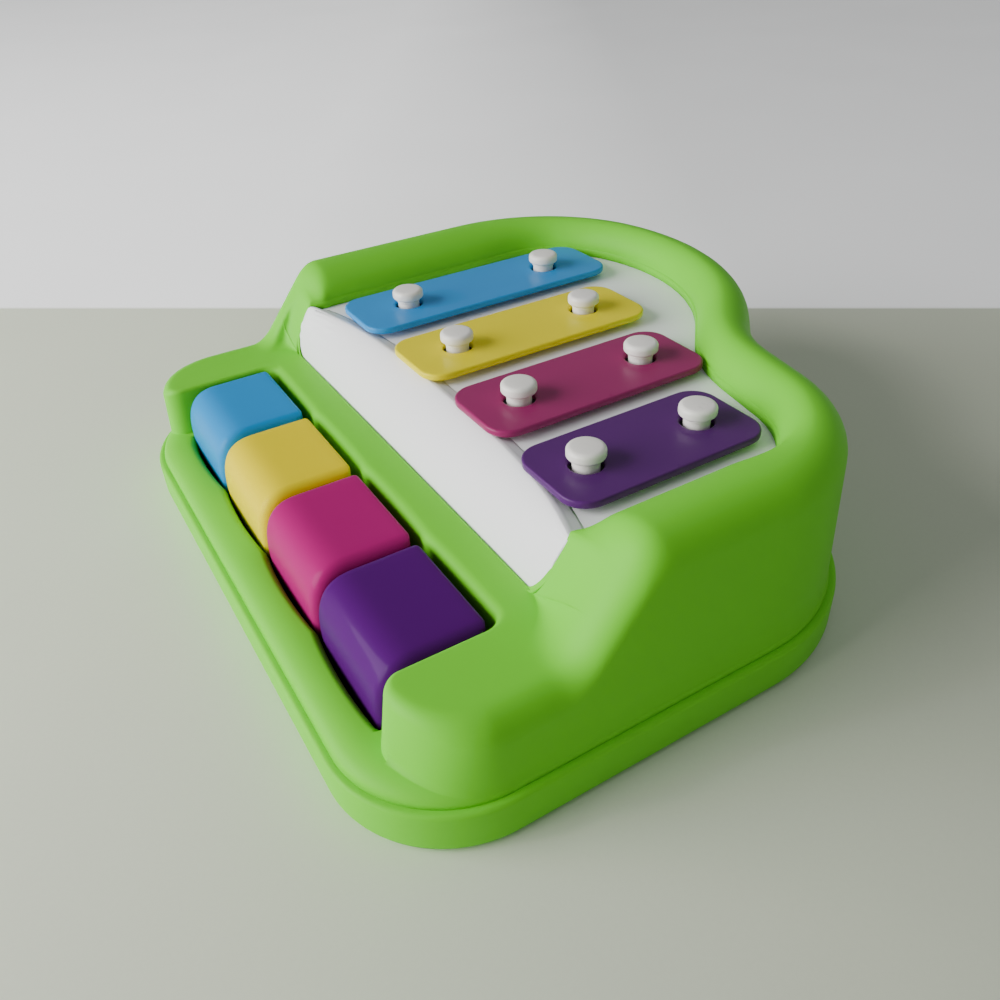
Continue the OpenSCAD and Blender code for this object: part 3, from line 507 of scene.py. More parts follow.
def right_side(corner_r):
    """The right side from the pillar to the tail, in four runs with their own targets."""
    middle = np.column_stack([np.full(len(cheek_ys), MEDIAL_X), cheek_ys])
    cheek = side_stations(cheek_ys, middle, DECK_Z, 0, 0, corner_r)
    turn = side_stations(turn_target[:, 1], turn_target, DECK_Z, 0, 0, corner_r)
    ys = opening_target[:, 1]
    rising = 0.5 * ease((ys - OPENING_Y) / OPENING_R)
    corner = side_stations(ys, opening_target, edge_z(ys), 1, rising, corner_r)
    ys = np.concatenate([beyond_ys, run_ys])
    past = ease((ys - OPENING_END_Y) / OPENING_R)
    target = np.column_stack([blend(WELL_HALF, HALF_WIDTH - RIM_WIDTH, past), ys])
    rear = side_stations(ys, target, RIM_FOOT_Z, 1, 0.5 + 0.5 * past, corner_r)
    return join_sets([cheek, turn, corner, rear])


def rear_stations(walk):
    """The rim along a walk: everything lies a fixed distance in from the skirt."""
    out = outward(walk[:, 2])
    return station_set(len(walk), top=walk[:, :2] - (WALL_IN + RIM_DRAFT) * out,
                       foot=walk[:, :2] - FOOT_IN * out, out=out,
                       target=walk[:, :2] - rim_width(walk[:, 2])[:, None] * out,
                       target_z=RIM_FOOT_Z, round=SIDE_ROUND + RIM_ROUND, crest=RIM_Z, ledge=1.0,
                       lean=SIDE_LEAN, edge=1.0, rim=1.0)


def well_half(corner_r):
    """The right half of the well's wall, from its rear corner to the pillar's face."""
    _, touch_point, touch_side = TOUCH[corner_r]
    arc_y = float(touch_point[0, 1] - PILLAR_R * touch_side[0, 1])
    ys = np.linspace(POLE_Y, arc_y, 10)[1:]
    near = well_side(ys, corner_r, ease((POLE_Y - ys) / (POLE_Y - arc_y)))
    return join_sets([well_corner(12), well_side(cheek_ys[::-1], corner_r), near,
                      pillar_arc(16, corner_r)])


left_run = straight_walk([-HALF_WIDTH, left_side_y], [-HALF_WIDTH, TAIL_START[1]], 270,
                         RUN_SPACING)
right_well, left_well = well_half(RIGHT_R), mirrored(well_half(LEFT_R))
loop = [left_well, well_rear(81), right_well, pillar_front(26, RIGHT_R), right_side(RIGHT_R),
        rear_stations(rear_walk(SPACING)), rear_stations(left_run), mirrored(right_side(LEFT_R)),
        mirrored(pillar_front(26, LEFT_R))]
shell_stations = join_sets(loop)
counts = [len(s["crest"]) for s in loop]
print("shell:", sum(counts), "stations")


# %% [markdown]
# The stations give the band its grid. Each one is carried from the foot of its wall over a
# quarter round to the crest, and on to the target along one of three lines: level for a cheek,
# sloping for the ramp, or humped for the rim. Past the target a thin edge folds down. The opening
# reaches further out at its left end, so the finished grid is pushed outward there.

# %% Shell surface
def wall_part(s):
    """From the groove over the ledge, or from inside the well, to the top of the wall."""
    wall_top = (s["crest"] - s["round"])[:, None]
    j = np.linspace(0, 1, LEDGE_COLS)[None, :]
    reach = np.linalg.norm(s["top"] - s["foot"], axis=1)[:, None]
    lean = s["lean"][:, None]
    inset = reach * (1 - lean) * j
    ledge = s["ledge"][:, None]
    meet = np.where(ledge[:, 0] > 0.5, ledge_z(inset[:, -1]), s["meet_z"])[:, None]
    low_z = np.where(ledge > 0.5, ledge_z(inset), WELL_LOW_Z + (meet - WELL_LOW_Z) * j)
    share = np.where(ledge > 0.5, (1 - lean) * j, 0)
    low_plan = s["foot"][:, None] + (s["top"] - s["foot"])[:, None] * share[..., None]
    k = np.linspace(0, 1, WALL_COLS - LEDGE_COLS + 1)[None, 1:]
    high_plan = blend(low_plan[:, -1:], s["top"][:, None], k[..., None])
    high_z = meet + (wall_top - meet) * k
    low_part = np.concatenate([low_plan, low_z[..., None]], -1)
    return np.concatenate([low_part, np.concatenate([high_plan, high_z[..., None]], -1)], 1)


def flared(points):
    """Moves the left end of the panel's opening outward, and all that lies near it with it.

    The move is the full flare at the opening's corner and eases to nothing across, along and below
    it: three smooth steps, multiplied.
    """
    x, y, z = points[..., 0], points[..., 1], points[..., 2]
    across = ease((-x - 58) / 18) * (1 - ease((-x - 84) / 14))
    along = ease((y - 46) / 13) * (1 - 0.5 * ease((y - 61) / 5) - 0.5 * ease((y - 66) / 7))
    high = ease((z - 26) / 5)
    return np.stack([x - FLARE * across * along * high, y, z], -1)


def shell_points(s):
    """Grid of the shell: stations by steps from the wall's foot over the crest to the target."""
    a = np.linspace(0, np.pi / 2, BEND_COLS)[1:][None, :]
    over = s["round"][:, None] * (1 - np.cos(a))
    plan = s["top"][:, None] - s["out"][:, None] * over[..., None]
    z = (s["crest"] - s["round"])[:, None] + s["round"][:, None] * np.sin(a)
    bend = np.concatenate([plan, z[..., None]], -1)

    crest = s["top"] - s["out"] * s["round"][:, None]
    u = np.sin(np.linspace(0, np.pi / 2, CREST_COLS)[1:])[None, :]
    plan = crest[:, None] + (s["target"] - crest)[:, None] * u[..., None]
    rim = s["rim"][:, None]
    level, slope = 1 - ease(u), 1 - u ** SLOPE_POWER
    hump = np.clip(1 - u ** HUMP_POWER, 0, 1) ** (1 / HUMP_POWER)
    shape = np.where(rim <= 0.5, blend(level, slope, rim * 2), blend(slope, hump, rim * 2 - 1))
    z = s["target_z"][:, None] + (s["crest"] - s["target_z"])[:, None] * shape
    top = np.concatenate([plan, z[..., None]], -1)

    along = s["target"] - crest
    along /= np.linalg.norm(along, axis=1, keepdims=True)
    step = EDGE_OUT[None, :] * s["edge"][:, None]
    fall = EDGE_DOWN[None, :] * s["edge"][:, None]
    plan = s["target"][:, None] + along[:, None] * step[..., None]
    edge = np.concatenate([plan, (s["target_z"][:, None] - fall)[..., None]], -1)
    return np.concatenate([wall_part(s), bend, top, edge], 1)


# %% [markdown]
# The front lip is a second grid in the same mesh. Its end rows start as the ledge of the pillar's
# first front station, point for point, so welding joins it to the band without a seam. Its back
# runs in cusps between the keys and is carried on inside the pillars at both ends.

# %% Front lip
LIP_BACK, LIP_CUSP, LIP_MORE = 8.7, 1.3, 6.5
LIP_ROLL, LIP_FALL, LIP_LOW_Z = 2.3, 4.6, 10.0
LIP_SPACING = 1.6
WELL_EDGE_X = 80


def lip_rows(corner_r, count):
    """Feet and inward directions along the right half of the front, up to the pillar's touch."""
    centre = np.array([HALF_WIDTH - corner_r, corner_r])
    arm = TOUCH[corner_r][1][0] - centre
    last = math.atan2(arm[0], -arm[1])
    a = np.linspace(0, last, count)
    radial = np.column_stack([np.sin(a), -np.cos(a)])
    x = np.arange(0, centre[0], LIP_SPACING)
    feet = np.concatenate([np.column_stack([x, np.full(len(x), FOOT_IN)]),
                           centre + (corner_r - FOOT_IN) * radial])
    return feet, np.concatenate([np.tile([0.0, 1.0], (len(x), 1)), -radial])


def lip_points():
    """Grid of the lip: along the front by steps in from the groove, over the top and down."""
    right, left = lip_rows(RIGHT_R, 24), lip_rows(LEFT_R, 24)
    feet = np.concatenate([left[0][:0:-1] * [-1, 1], right[0]])
    inward = np.concatenate([left[1][:0:-1] * [-1, 1], right[1]])
    mix = np.clip((feet[:, 0] - KEY_XS["blue"]) / (KEY_XS["purple"] - KEY_XS["blue"]), 0, 1)
    meet = blend(touch_meet(LEFT_R)[2], touch_meet(RIGHT_R)[2], mix)[:, None]
    beside = np.abs(feet[:, 0])
    cusps = LIP_CUSP * scallop(feet[:, 0]) * (beside < WELL_EDGE_X)
    back = (LIP_BACK + cusps + LIP_MORE * ease((beside - WELL_EDGE_X + 1) / 6))[:, None]
    j = np.linspace(0, 1, LEDGE_COLS)[None, :]
    k = np.linspace(0, 1, 9)[None, 1:]
    a = np.linspace(0, np.pi / 2, 9)[None, 1:]
    flat = np.concatenate([meet * j, blend(meet, back, k)], 1)
    roll = back + LIP_ROLL * np.sin(a)
    inset = np.concatenate([flat, roll, roll[:, -1:]], 1)
    roll_z = ledge_z(back) - LIP_FALL * (1 - np.cos(a))
    z = np.concatenate([ledge_z(flat), roll_z, np.full((len(feet), 1), LIP_LOW_Z)], 1)
    plan = feet[:, None] + inward[:, None] * inset[..., None]
    return np.concatenate([plan, z[..., None]], -1)


points = flared(shell_points(shell_stations))
rows, cols = points.shape[:2]
faces = grid_faces(rows, cols, round_rows=True).reshape(rows, cols - 1, 4)
keep = np.ones((rows, cols - 1), bool)
# Between the last station beside a key and the first one in front, the lip takes the ledge's place.
right_seam = sum(counts[:3]) - 1
for seam in (right_seam, rows - 1):
    keep[seam, :LEDGE_COLS - 1] = False
lip = lip_points()
lip_faces = grid_faces(lip.shape[0], lip.shape[1]) + rows * cols
points = np.concatenate([points.reshape(-1, 3), lip.reshape(-1, 3)])
shell = build("shell", points, np.concatenate([faces[keep], lip_faces]), sharp=75)
add_solidify(shell, SHELL_WALL)
print("shell:", len(shell.data.vertices), "points after welding")

# %% [markdown]
# ## The tray's skirt
#
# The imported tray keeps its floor, its screw holes and its stands. Only its outside is dressed
# again, by a skin that repeats the outline at several heights: a rounded foot, a plain wall and
# a small round at the top that runs in under the shell.

# %% Tray skin
FOOT_ROUND, TOP_ROUND, TRAY_TOP_Z = 2.6, 1.2, 12.9
SKIN_OUT = 0.06


def ring(inset, z):
    """The skirt's outline moved inward, at one height; the skin lies just outside the solid."""
    plan = skirt[:, :2] - (inset - SKIN_OUT) * outward(skirt[:, 2])
    return np.column_stack([plan, np.full(len(skirt), z)])


def tray_points():
    """Rings from under the foot, over a quarter round, up the wall and over the top round."""
    a = np.linspace(0, np.pi / 2, 7)
    low_z = TRAY_TOP_Z - TOP_ROUND
    rings = [ring(3.4, 0.02)]
    rings += [ring(FOOT_ROUND * (1 - math.sin(b)), FOOT_ROUND * (1 - math.cos(b))) for b in a]
    rings += [ring(TOP_ROUND * (1 - math.cos(b)), low_z + TOP_ROUND * math.sin(b)) for b in a]
    return np.stack(rings + [ring(4.6, TRAY_TOP_Z)], 0)


points = tray_points()
tray_faces = grid_faces(points.shape[0], points.shape[1], round_cols=True)[:, ::-1]
tray_skin = build("tray_skin", points, tray_faces, sharp=50)
add_solidify(tray_skin, SKIN_WALL)
print("tray skin:", len(tray_skin.data.vertices), "points")

# %% [markdown]
# ## The sloped panel
#
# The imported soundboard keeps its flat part, with the windows for the hammers and the sockets for
# the posts. The panel in front of it is a curved skin: its crest bows forward at both ends, its
# slope bulges a little, and its lower corners are drawn in to the opening's rounding.

# %% Panel skin
PANEL_FRONT_Y, PANEL_CREST_Y, PANEL_BOW = 59.2, 75.5, 9.0
PANEL_LOW_Z, PANEL_TOP_Z, PANEL_POWER = 31.3, 50.9, 1.35
PANEL_HALF, PANEL_WIDENS = 80.3, 2.3
PANEL_DROP = 1.27


def panel_points():
    """Grid of the panel: across by steps up to the crest and down to the board.

    The slope is a quarter of an oval. For a share t of the way back, its height is the share
    1 - (1 - t) to a power, all to one over that power.
    """
    u = np.linspace(-1, 1, 121)[:, None]
    crest_y = PANEL_CREST_Y - PANEL_BOW * np.abs(u) ** 3
    t = np.sin(np.linspace(0, np.pi / 2, 26))[None, :]
    y = blend(PANEL_FRONT_Y, crest_y, t)
    oval = (1 - (1 - t) ** PANEL_POWER) ** (1 / PANEL_POWER)
    z = PANEL_LOW_Z + (PANEL_TOP_Z - PANEL_LOW_Z) * oval + 0 * u
    tail_y = crest_y + np.array([0.8, 1.7, 2.6, 3.6, 4.6])[None, :]
    fall = ease(np.array([0.12, 0.35, 0.65, 0.92, 1.0]))[None, :]
    y = np.concatenate([y, tail_y], 1)
    z = np.concatenate([z, PANEL_TOP_Z - PANEL_DROP * fall + 0 * u], 1)
    x = u * (PANEL_HALF + PANEL_WIDENS * ease((y - OPENING_END_Y) / OPENING_R))
    corner_x, corner_y = PANEL_HALF - OPENING_R, PANEL_FRONT_Y + OPENING_R
    over_x = np.maximum(np.abs(x) - corner_x, 0)
    over_y = np.maximum(corner_y - y, 0)
    corner = np.hypot(over_x, over_y)
    pull = np.where(corner > OPENING_R, OPENING_R / np.maximum(corner, 1e-6), 1.0)
    x = np.where(over_x > 0, np.sign(x) * (corner_x + over_x * pull), x)
    y = np.where(corner > OPENING_R, corner_y - over_y * pull, y)
    return np.stack([x, y, z], -1)


points = flared(panel_points())
panel = build("panel", points, grid_faces(points.shape[0], points.shape[1]))
add_solidify(panel, PANEL_WALL)
print("panel:", len(panel.data.vertices), "points")

# %% [markdown]
# ## Keys
#
# A key cap is one sheet. Its side view runs up a full, squarish nose, along the flat top and down
# the back; towards each side that line sinks inward along a quarter circle, which rounds every
# edge and both corners of the nose alike.

# %% Keys
KEY_HALF, KEY_EDGE = 19.6, 3.6
KEY_FRONT, KEY_BACK, KEY_FOOT = 14.15, 44.6, 11.0
NOSE_LOW, NOSE_BACK, NOSE_POWER = 18.0, 27.0, 2.8
BACK_ROUND = 1.2


def key_side_view():
    """The cap's line from the front foot over the top to the back foot."""
    a = np.linspace(0, np.pi / 2, 33)
    power = 2 / NOSE_POWER
    nose_y = NOSE_BACK - (NOSE_BACK - KEY_FRONT) * np.cos(a) ** power
    nose_z = NOSE_LOW + (DECK_Z - NOSE_LOW) * np.sin(a) ** power
    b = np.linspace(0, np.pi / 2, 6)[1:]
    bend_y, bend_z = KEY_BACK - BACK_ROUND, DECK_Z - BACK_ROUND
    top_y = np.linspace(NOSE_BACK, bend_y, 10)[1:]
    y = np.concatenate([[KEY_FRONT + 0.1] * 2, nose_y, top_y, bend_y + BACK_ROUND * np.sin(b),
                        [KEY_BACK] * 2])
    z = np.concatenate([[KEY_FOOT, 14.5], nose_z, np.full(len(top_y), DECK_Z),
                        bend_z + BACK_ROUND * np.cos(b), [20.0, KEY_FOOT]])
    return y, z


def key_cap(colour):
    """The side view carried across the key, sunk inward along its own outward side near the edges."""
    y, z = key_side_view()
    out_y, out_z = -np.gradient(z), np.gradient(y)
    length = np.hypot(out_y, out_z)
    out_y, out_z = out_y / length, out_z / length
    a = np.linspace(0, np.pi / 2, 11)
    x = np.concatenate([-KEY_HALF + KEY_EDGE * (1 - np.cos(a)),
                        np.linspace(-KEY_HALF + KEY_EDGE, KEY_HALF - KEY_EDGE, 10)[1:-1],
                        KEY_HALF - KEY_EDGE * (1 - np.cos(a[::-1]))])
    sink = KEY_EDGE * np.concatenate([1 - np.sin(a), np.zeros(8), 1 - np.sin(a[::-1])])
    sink = sink[:, None]
    grid_y = np.minimum(y - sink * out_y, KEY_BACK - sink)
    grid_z = np.clip(z - sink * out_z, KEY_FOOT, DECK_Z - sink)
    grid_x = np.broadcast_to(x[:, None] + KEY_XS[colour], grid_y.shape)
    cap = np.stack([grid_x, grid_y, grid_z], -1)
    low_edges = cap[[0, -1]].copy()
    low_edges[..., 2] = KEY_FOOT
    cap = np.concatenate([low_edges[:1], cap, low_edges[1:]], 0)
    piece = build("cap_" + colour, cap, grid_faces(cap.shape[0], cap.shape[1]), sharp=60)
    add_solidify(piece, CAP_WALL)
    return piece


caps = {c: key_cap(c) for c in COLOURS}
print("key:", len(caps["blue"].data.vertices), "points in a cap")

# %% [markdown]
# ## Levers
#
# Behind the cap a lever runs to the axle and on under the hammer. Its side view is a bar that
# swells to a disc round the axle, so it is a box whose height follows that line. The stop tab
# beside it is drawn from inside the well's wall backwards, where it never shows.

# %% Levers
LEVER_HALF, LEVER_THIN, DISC_R = 6.0, 3.0, 6.0
LEVER_FRONT, DISC_REACH = 16.0, 5.8
TAB_HALF, TAB_YS, TAB_ZS = 15.5, (49.6, 52.5), (27.7, 30.3)
BAR_LEN = {"blue": 98.0, "yellow": 85.0, "pink": 76.0, "purple": 63.6}
BAR_FRONT = {"blue": 73.8, "yellow": 73.8, "pink": 73.8, "purple": 72.2}
BAR_SHIFT = {"blue": 1.1, "yellow": 1.5, "pink": 1.5, "purple": 0.2}
NODE_SHARE = 0.21


def lever_piece(colour):
    """A box along y; its half height is the larger of the bar's and the disc's at each y."""
    strike_y = BAR_FRONT[colour] + BAR_LEN[colour] / 2
    a = np.linspace(0.5, np.pi - 0.5, 17)
    y = np.concatenate([[LEVER_FRONT, AXLE_Y - DISC_REACH], AXLE_Y - DISC_R * np.cos(a),
                        [AXLE_Y + DISC_REACH, strike_y - LEVER_HALF, strike_y + LEVER_HALF]])
    disc = np.sqrt(np.maximum(DISC_R ** 2 - (y - AXLE_Y) ** 2, 0))
    half = np.maximum(LEVER_THIN, disc)
    x = KEY_XS[colour] + LEVER_HALF * np.array([-1.0, 1.0, 1.0, -1.0])
    side = np.array([-1.0, -1.0, 1.0, 1.0])
    ring_z = AXLE_Z + half[:, None] * side
    body = np.stack([np.broadcast_to(x, ring_z.shape), np.broadcast_to(y[:, None], ring_z.shape),
                     ring_z], -1)
    ends = body[[0, -1]].mean(1, keepdims=True) + np.zeros((1, 4, 1))
    body = np.concatenate([ends[:1], body, ends[1:]], 0)
    faces = grid_faces(body.shape[0], 4, round_cols=True)
    near, far = TAB_YS
    tab = np.array([[u, v, w] for w in TAB_ZS for u, v in
                    ((-TAB_HALF, near), (TAB_HALF, near), (TAB_HALF, far), (-TAB_HALF, far))])
    tab[:, 0] += KEY_XS[colour]
    start = body.shape[0] * 4
    tab_faces = np.array([[3, 2, 1, 0], [4, 5, 6, 7], [0, 1, 5, 4], [1, 2, 6, 5], [2, 3, 7, 6],
                          [3, 0, 4, 7]]) + start
    points = np.concatenate([body.reshape(-1, 3), tab])
    return build("lever_" + colour, points, np.concatenate([faces, tab_faces]), sharp=30)


levers = {c: lever_piece(c) for c in COLOURS}
print("lever:", len(levers["blue"].data.vertices), "points")

# %% [markdown]
# ## Bars
#
# A bar is a thin plate with two holes. Each half is a fan of rings round its hole: the first ring
# is the hole and the last one is the outline, so the edges stay clean for the bevel.

# %% Bars
BAR_HALF, BAR_CORNER, HOLE_R = 15.2, 7.5, 4.8


def post_y(colour, end):
    """Where a bar's post stands: a fixed share of the bar's length from its end."""
    share = NODE_SHARE if end == "front" else 1 - NODE_SHARE
    return BAR_FRONT[colour] + BAR_LEN[colour] * share


def reach_to_plate(a, y_from, y_to, y_cut):
    """Distance from a hole's middle to the half plate's edge along each angle, by halving."""
    near, far = np.zeros_like(a), np.full_like(a, 400.0)
    middle, half_y = (y_from + y_to) / 2, (y_to - y_from) / 2 - BAR_CORNER
    for _ in range(44):
        d = (near + far) / 2
        x, y = d * np.cos(a), d * np.sin(a)
        qx, qy = np.abs(x) - BAR_HALF + BAR_CORNER, np.abs(y - middle) - half_y
        gap = np.hypot(np.maximum(qx, 0), np.maximum(qy, 0))
        gap += np.minimum(np.maximum(qx, qy), 0) - BAR_CORNER
        past_cut = (y - y_cut) * np.sign(y_cut) > 0
        outside = (gap > 0) | past_cut
        near, far = np.where(outside, near, d), np.where(outside, d, far)
    return near


def bar_piece(colour):
    """Two fans of rings that meet in the middle, thickened downward."""
    x_mid = KEY_XS[colour] + BAR_SHIFT[colour]
    y0, y1 = BAR_FRONT[colour], BAR_FRONT[colour] + BAR_LEN[colour]
    parts, faces, offset = [], [], 0
    for end in ("front", "back"):
        hole_y = post_y(colour, end)
        cut = (y0 + y1) / 2 - hole_y
        corner = math.atan2(cut, BAR_HALF)
        corners = np.array([corner, math.pi - corner]) % (2 * np.pi)
        a = np.linspace(0, 2 * np.pi, 129)[:-1]
        a = a[np.abs(a[:, None] - corners).min(1) > 0.025]
        a = np.sort(np.concatenate([a, corners]))
        reach = reach_to_plate(a, y0 - hole_y, y1 - hole_y, cut)
        share = np.array([0, 0.06, 0.3, 0.65, 0.94, 1.0])[:, None]
        radius = blend(HOLE_R, reach[None, :], share)
        x, y = x_mid + radius * np.cos(a), hole_y + radius * np.sin(a)
        grid = np.stack([x, y, np.full(x.shape, BAR_Z + BAR_T)], -1)
        parts.append(grid.reshape(-1, 3))
        faces.append(grid_faces(grid.shape[0], grid.shape[1], round_cols=True) + offset)
        offset += len(parts[-1])
    piece = build("plate_" + colour, np.concatenate(parts), np.concatenate(faces), weld=0.01)
    add_solidify(piece, BAR_T)
    add_bevel(piece, 0.7)
    return piece


bars = {c: bar_piece(c) for c in COLOURS}
print("bar:", len(bars["blue"].data.vertices), "points before its thickness")

# %% [markdown]
# ## Posts
#
# A post is moulded with a head that holds its bar down. It could be stacked from cylinders, but it
# is a turned shape: one line spun round an upright axis keeps its step and its domed head smooth.

# %% Posts
POST_TOP, NECK_R, HEAD_R = 59.3, 3.7, 5.3


def post_piece(colour, end):
    """A turned post: neck, a thin step under the head, and a softly domed head."""
    a = np.linspace(0, np.pi / 2, 8)
    top, neck, head, seat = POST_TOP, NECK_R, HEAD_R, BAR_Z + BAR_T
    r = np.concatenate([[neck] * 2, [neck + 0.25, neck + 0.25], [neck, neck, head - 0.8],
                        head - 0.8 + 0.8 * np.sin(a), head - 1.5 + 1.5 * np.cos(a),
                        [head * 0.5, 0.01]])
    z = np.concatenate([[BOARD_Z - 2, seat + 0.9], [seat + 1.1, seat + 1.5], [seat + 1.7],
                        [top - 3.3, top - 3.3], top - 3.3 + 0.8 * (1 - np.cos(a)),
                        top - 1.4 + 1.3 * np.sin(a), [top - 0.02, top]])
    b = np.linspace(0, 2 * np.pi, 64, endpoint=False)
    x = KEY_XS[colour] + BAR_SHIFT[colour] + r[:, None] * np.cos(b)
    y = post_y(colour, end) + r[:, None] * np.sin(b)
    points = np.stack([x, y, np.broadcast_to(z[:, None], x.shape)], -1)
    faces = grid_faces(len(r), len(b), round_cols=True)[:, ::-1]
    return build("peg_%s_%s" % (colour, end), points, faces, weld=0.03, sharp=50)


posts = {(c, e): post_piece(c, e) for c in COLOURS for e in ("front", "back")}
print("posts:", len(posts))

# %% [markdown]
# ## Springs
#
# A return spring is a bent wire, so it is a small circle carried along a helix whose ends lie flat.
# It stands on the tray's floor.

# %% Springs
SPRING_Y, SPRING_Z, SPRING_KEEP = 35.8, 3.0, 0.63


def spring_piece(colour):
    """A wire wound seven times, with its ends laid flat; a circle carried along a helix."""
    turns, radius, wire, height = 7, 4.0, 0.4, 9.8
    t = np.linspace(0, turns, turns * 24 + 1)
    flat = 1.05 * 2 * wire
    rise = np.interp(t, [0, 0.9, turns - 0.9, turns],
                     [0, 0.9 * flat, height - 2 * wire - 0.9 * flat, height - 2 * wire])
    b = np.linspace(0, 2 * np.pi, 8, endpoint=False)[None, :]
    out = radius + wire * np.cos(b)
    turn = 2 * np.pi * t[:, None]
    x = KEY_XS[colour] + out * np.cos(turn)
    y = SPRING_Y + out * np.sin(turn)
    z = SPRING_Z + wire + rise[:, None] + wire * np.sin(b)
    points = np.stack([x, y, z], -1)
    ends = points[[0, -1]].mean(1, keepdims=True) + np.zeros((1, 8, 1))
    points = np.concatenate([ends[:1], points, ends[1:]], 0)
    return build("coil_" + colour, points, grid_faces(points.shape[0], 8, round_cols=True))


coils = {c: spring_piece(c) for c in COLOURS}
print("spring:", len(coils["blue"].data.vertices), "points")

# %% [markdown]
# ## Materials
#
# A small class wraps one output socket of a node, so that shading formulas read as sums and
# products. Every material starts from the same surface: a colour that drifts a little from place
# to place, a fine skin and a gloss that is slightly uneven, as on moulded plastic.

# %% Materials
class Value:
    """One output socket of a node; arithmetic on it adds the matching nodes."""

    def __init__(self, graph, socket):
        self.graph, self.socket = graph, socket

    def maths(self, kind, first, second):
        """A Math node of a kind on two values or numbers."""
        return self.graph.node("ShaderNodeMath", [first, second], operation=kind)

    def __add__(self, other):
        return self.maths("ADD", self, other)

    def __radd__(self, other):
        return self.maths("ADD", other, self)

    def __sub__(self, other):
        return self.maths("SUBTRACT", self, other)

    def __rsub__(self, other):
        return self.maths("SUBTRACT", other, self)

    def __mul__(self, other):
        return self.maths("MULTIPLY", self, other)

    def __rmul__(self, other):
        return self.maths("MULTIPLY", other, self)


class Graph:
    """A material's node tree, filled by one method that adds any node and joins its inputs."""

    def __init__(self, name):
        self.material = bpy.data.materials.new(name)
        self.material.use_nodes = True
        self.tree = self.material.node_tree
        self.tree.nodes.clear()

    def node(self, kind, inputs=(), output=0, **settings):
        """Adds a node, sets its settings, fills its inputs by name or in order, gives an output."""
        made = self.tree.nodes.new(kind)
        for key, value in settings.items():
            setattr(made, key, value)
        pairs = inputs.items() if isinstance(inputs, dict) else enumerate(inputs)
        for key, value in pairs:
            if isinstance(value, Value):
                self.tree.links.new(value.socket, made.inputs[key])
            else:
                made.inputs[key].default_value = value
        return Value(self, made.outputs[output]) if made.outputs else made


def linear(r, g, b):
    """Screen values 0 to 255 to the renderer's linear light."""
    v = np.array([r, g, b]) / 255.0
    return tuple(np.where(v <= 0.04045, v / 12.92, ((v + 0.055) / 1.055) ** 2.4).tolist())


COAT_ROUGH = 0.06


def surface(name, colour, rough, speck=0.03, grain=1.0, bump=0.02, coat=0.0, metallic=0.0,
            shine=0.5):
    """A moulded surface: colour and gloss drift with broad noise, and fine noise is its skin."""
    g = Graph(name)
    place = g.node("ShaderNodeTexCoord", output="Object")
    broad = g.node("ShaderNodeTexNoise", {"Vector": place, "Scale": 22.0, "Detail": 3.0})
    fine = g.node("ShaderNodeTexNoise", {"Vector": place, "Scale": 900.0 / grain, "Detail": 2.0})
    shade = 1.0 + (broad - 0.5) * speck + (fine - 0.5) * (0.5 * speck)
    base = g.node("ShaderNodeRGB")
    base.socket.default_value = (*colour, 1)
    tint = g.node("ShaderNodeCombineXYZ", [shade, shade, shade])
    mixed = g.node("ShaderNodeVectorMath", [base, tint], operation="MULTIPLY")
    height = g.node("ShaderNodeBump", {"Strength": 0.3, "Distance": bump * MM, "Height": fine})
    gloss = rough + (broad - 0.5) * 0.1 + (fine - 0.5) * 0.05
    shader = g.node("ShaderNodeBsdfPrincipled",
                    {"Base Color": mixed, "Roughness": gloss, "Normal": height})
    inputs = shader.socket.node.inputs
    inputs["Metallic"].default_value = metallic
    inputs["Specular IOR Level"].default_value = shine
    inputs["Coat Weight"].default_value = coat
    inputs["Coat Roughness"].default_value = COAT_ROUGH
    g.node("ShaderNodeOutputMaterial", {"Surface": shader})
    return g.material


KEY_TINTS = {"blue": (34, 138, 204), "yellow": (230, 208, 0), "pink": (166, 26, 108),
             "purple": (78, 14, 104)}
BAR_TINTS = {"blue": (44, 142, 212), "yellow": (236, 220, 0), "pink": (148, 40, 98),
             "purple": (84, 34, 106)}
green = surface("green_plastic", linear(112, 212, 44), 0.5, grain=1.2, bump=0.03, shine=0.12)
white = surface("white_plastic", linear(252, 252, 255), 0.38, speck=0.015, shine=0.3)
post_white = surface("post_plastic", linear(244, 241, 236), 0.3, speck=0.015)
key_paint = {c: surface("key_" + c, linear(*KEY_TINTS[c]), 0.3, speck=0.02, bump=0.003,
                        coat=0.06, shine=0.03) for c in COLOURS}
bar_paint = {c: surface("bar_" + c, linear(*BAR_TINTS[c]), 0.32, speck=0.02, bump=0.006,
                        coat=0.06, shine=0.2) for c in COLOURS}
steel = surface("steel", (0.6, 0.6, 0.62), 0.3, metallic=1.0)
felt = surface("felt", (0.05, 0.05, 0.055), 0.95, speck=0.3, bump=0.3)
print("materials:", len(bpy.data.materials))

# %% [markdown]
# ## Who wears what
#
# Each new piece rides on the body of the part it dresses, and most take that part's place in the
# picture. The tray's skin and the panel lie over parts that stay in sight. The soundboard, the
# hammers and the small hardware are shown as packed, in materials of their own.

# %% Dress and ride
def place(piece, material, slot, body, *nodes):
    """Gives a new piece its material and its body, and takes the place of CAD nodes; the slot is not
    used.
    """
    piece.data.materials.clear()
    piece.data.materials.append(material)
    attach(piece, body)
    if nodes:
        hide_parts(*nodes)


place(shell, green, "green", "case", "casing")
place(tray_skin, green, "green", "case")
place(panel, white, "white", "case")
for c in COLOURS:
    place(caps[c], key_paint[c], "key_" + c, c + "_key", "key_" + c)
    place(levers[c], key_paint[c], "key_" + c, c + "_key", "key_" + c)
    place(bars[c], bar_paint[c], "bar_" + c, "case", "bar_" + c)
    place(coils[c], steel, "steel", "case", "spring_" + c)
for (c, e), piece in posts.items():
    place(piece, post_white, "post_white", "case", "post_%s_%s" % (c, e))

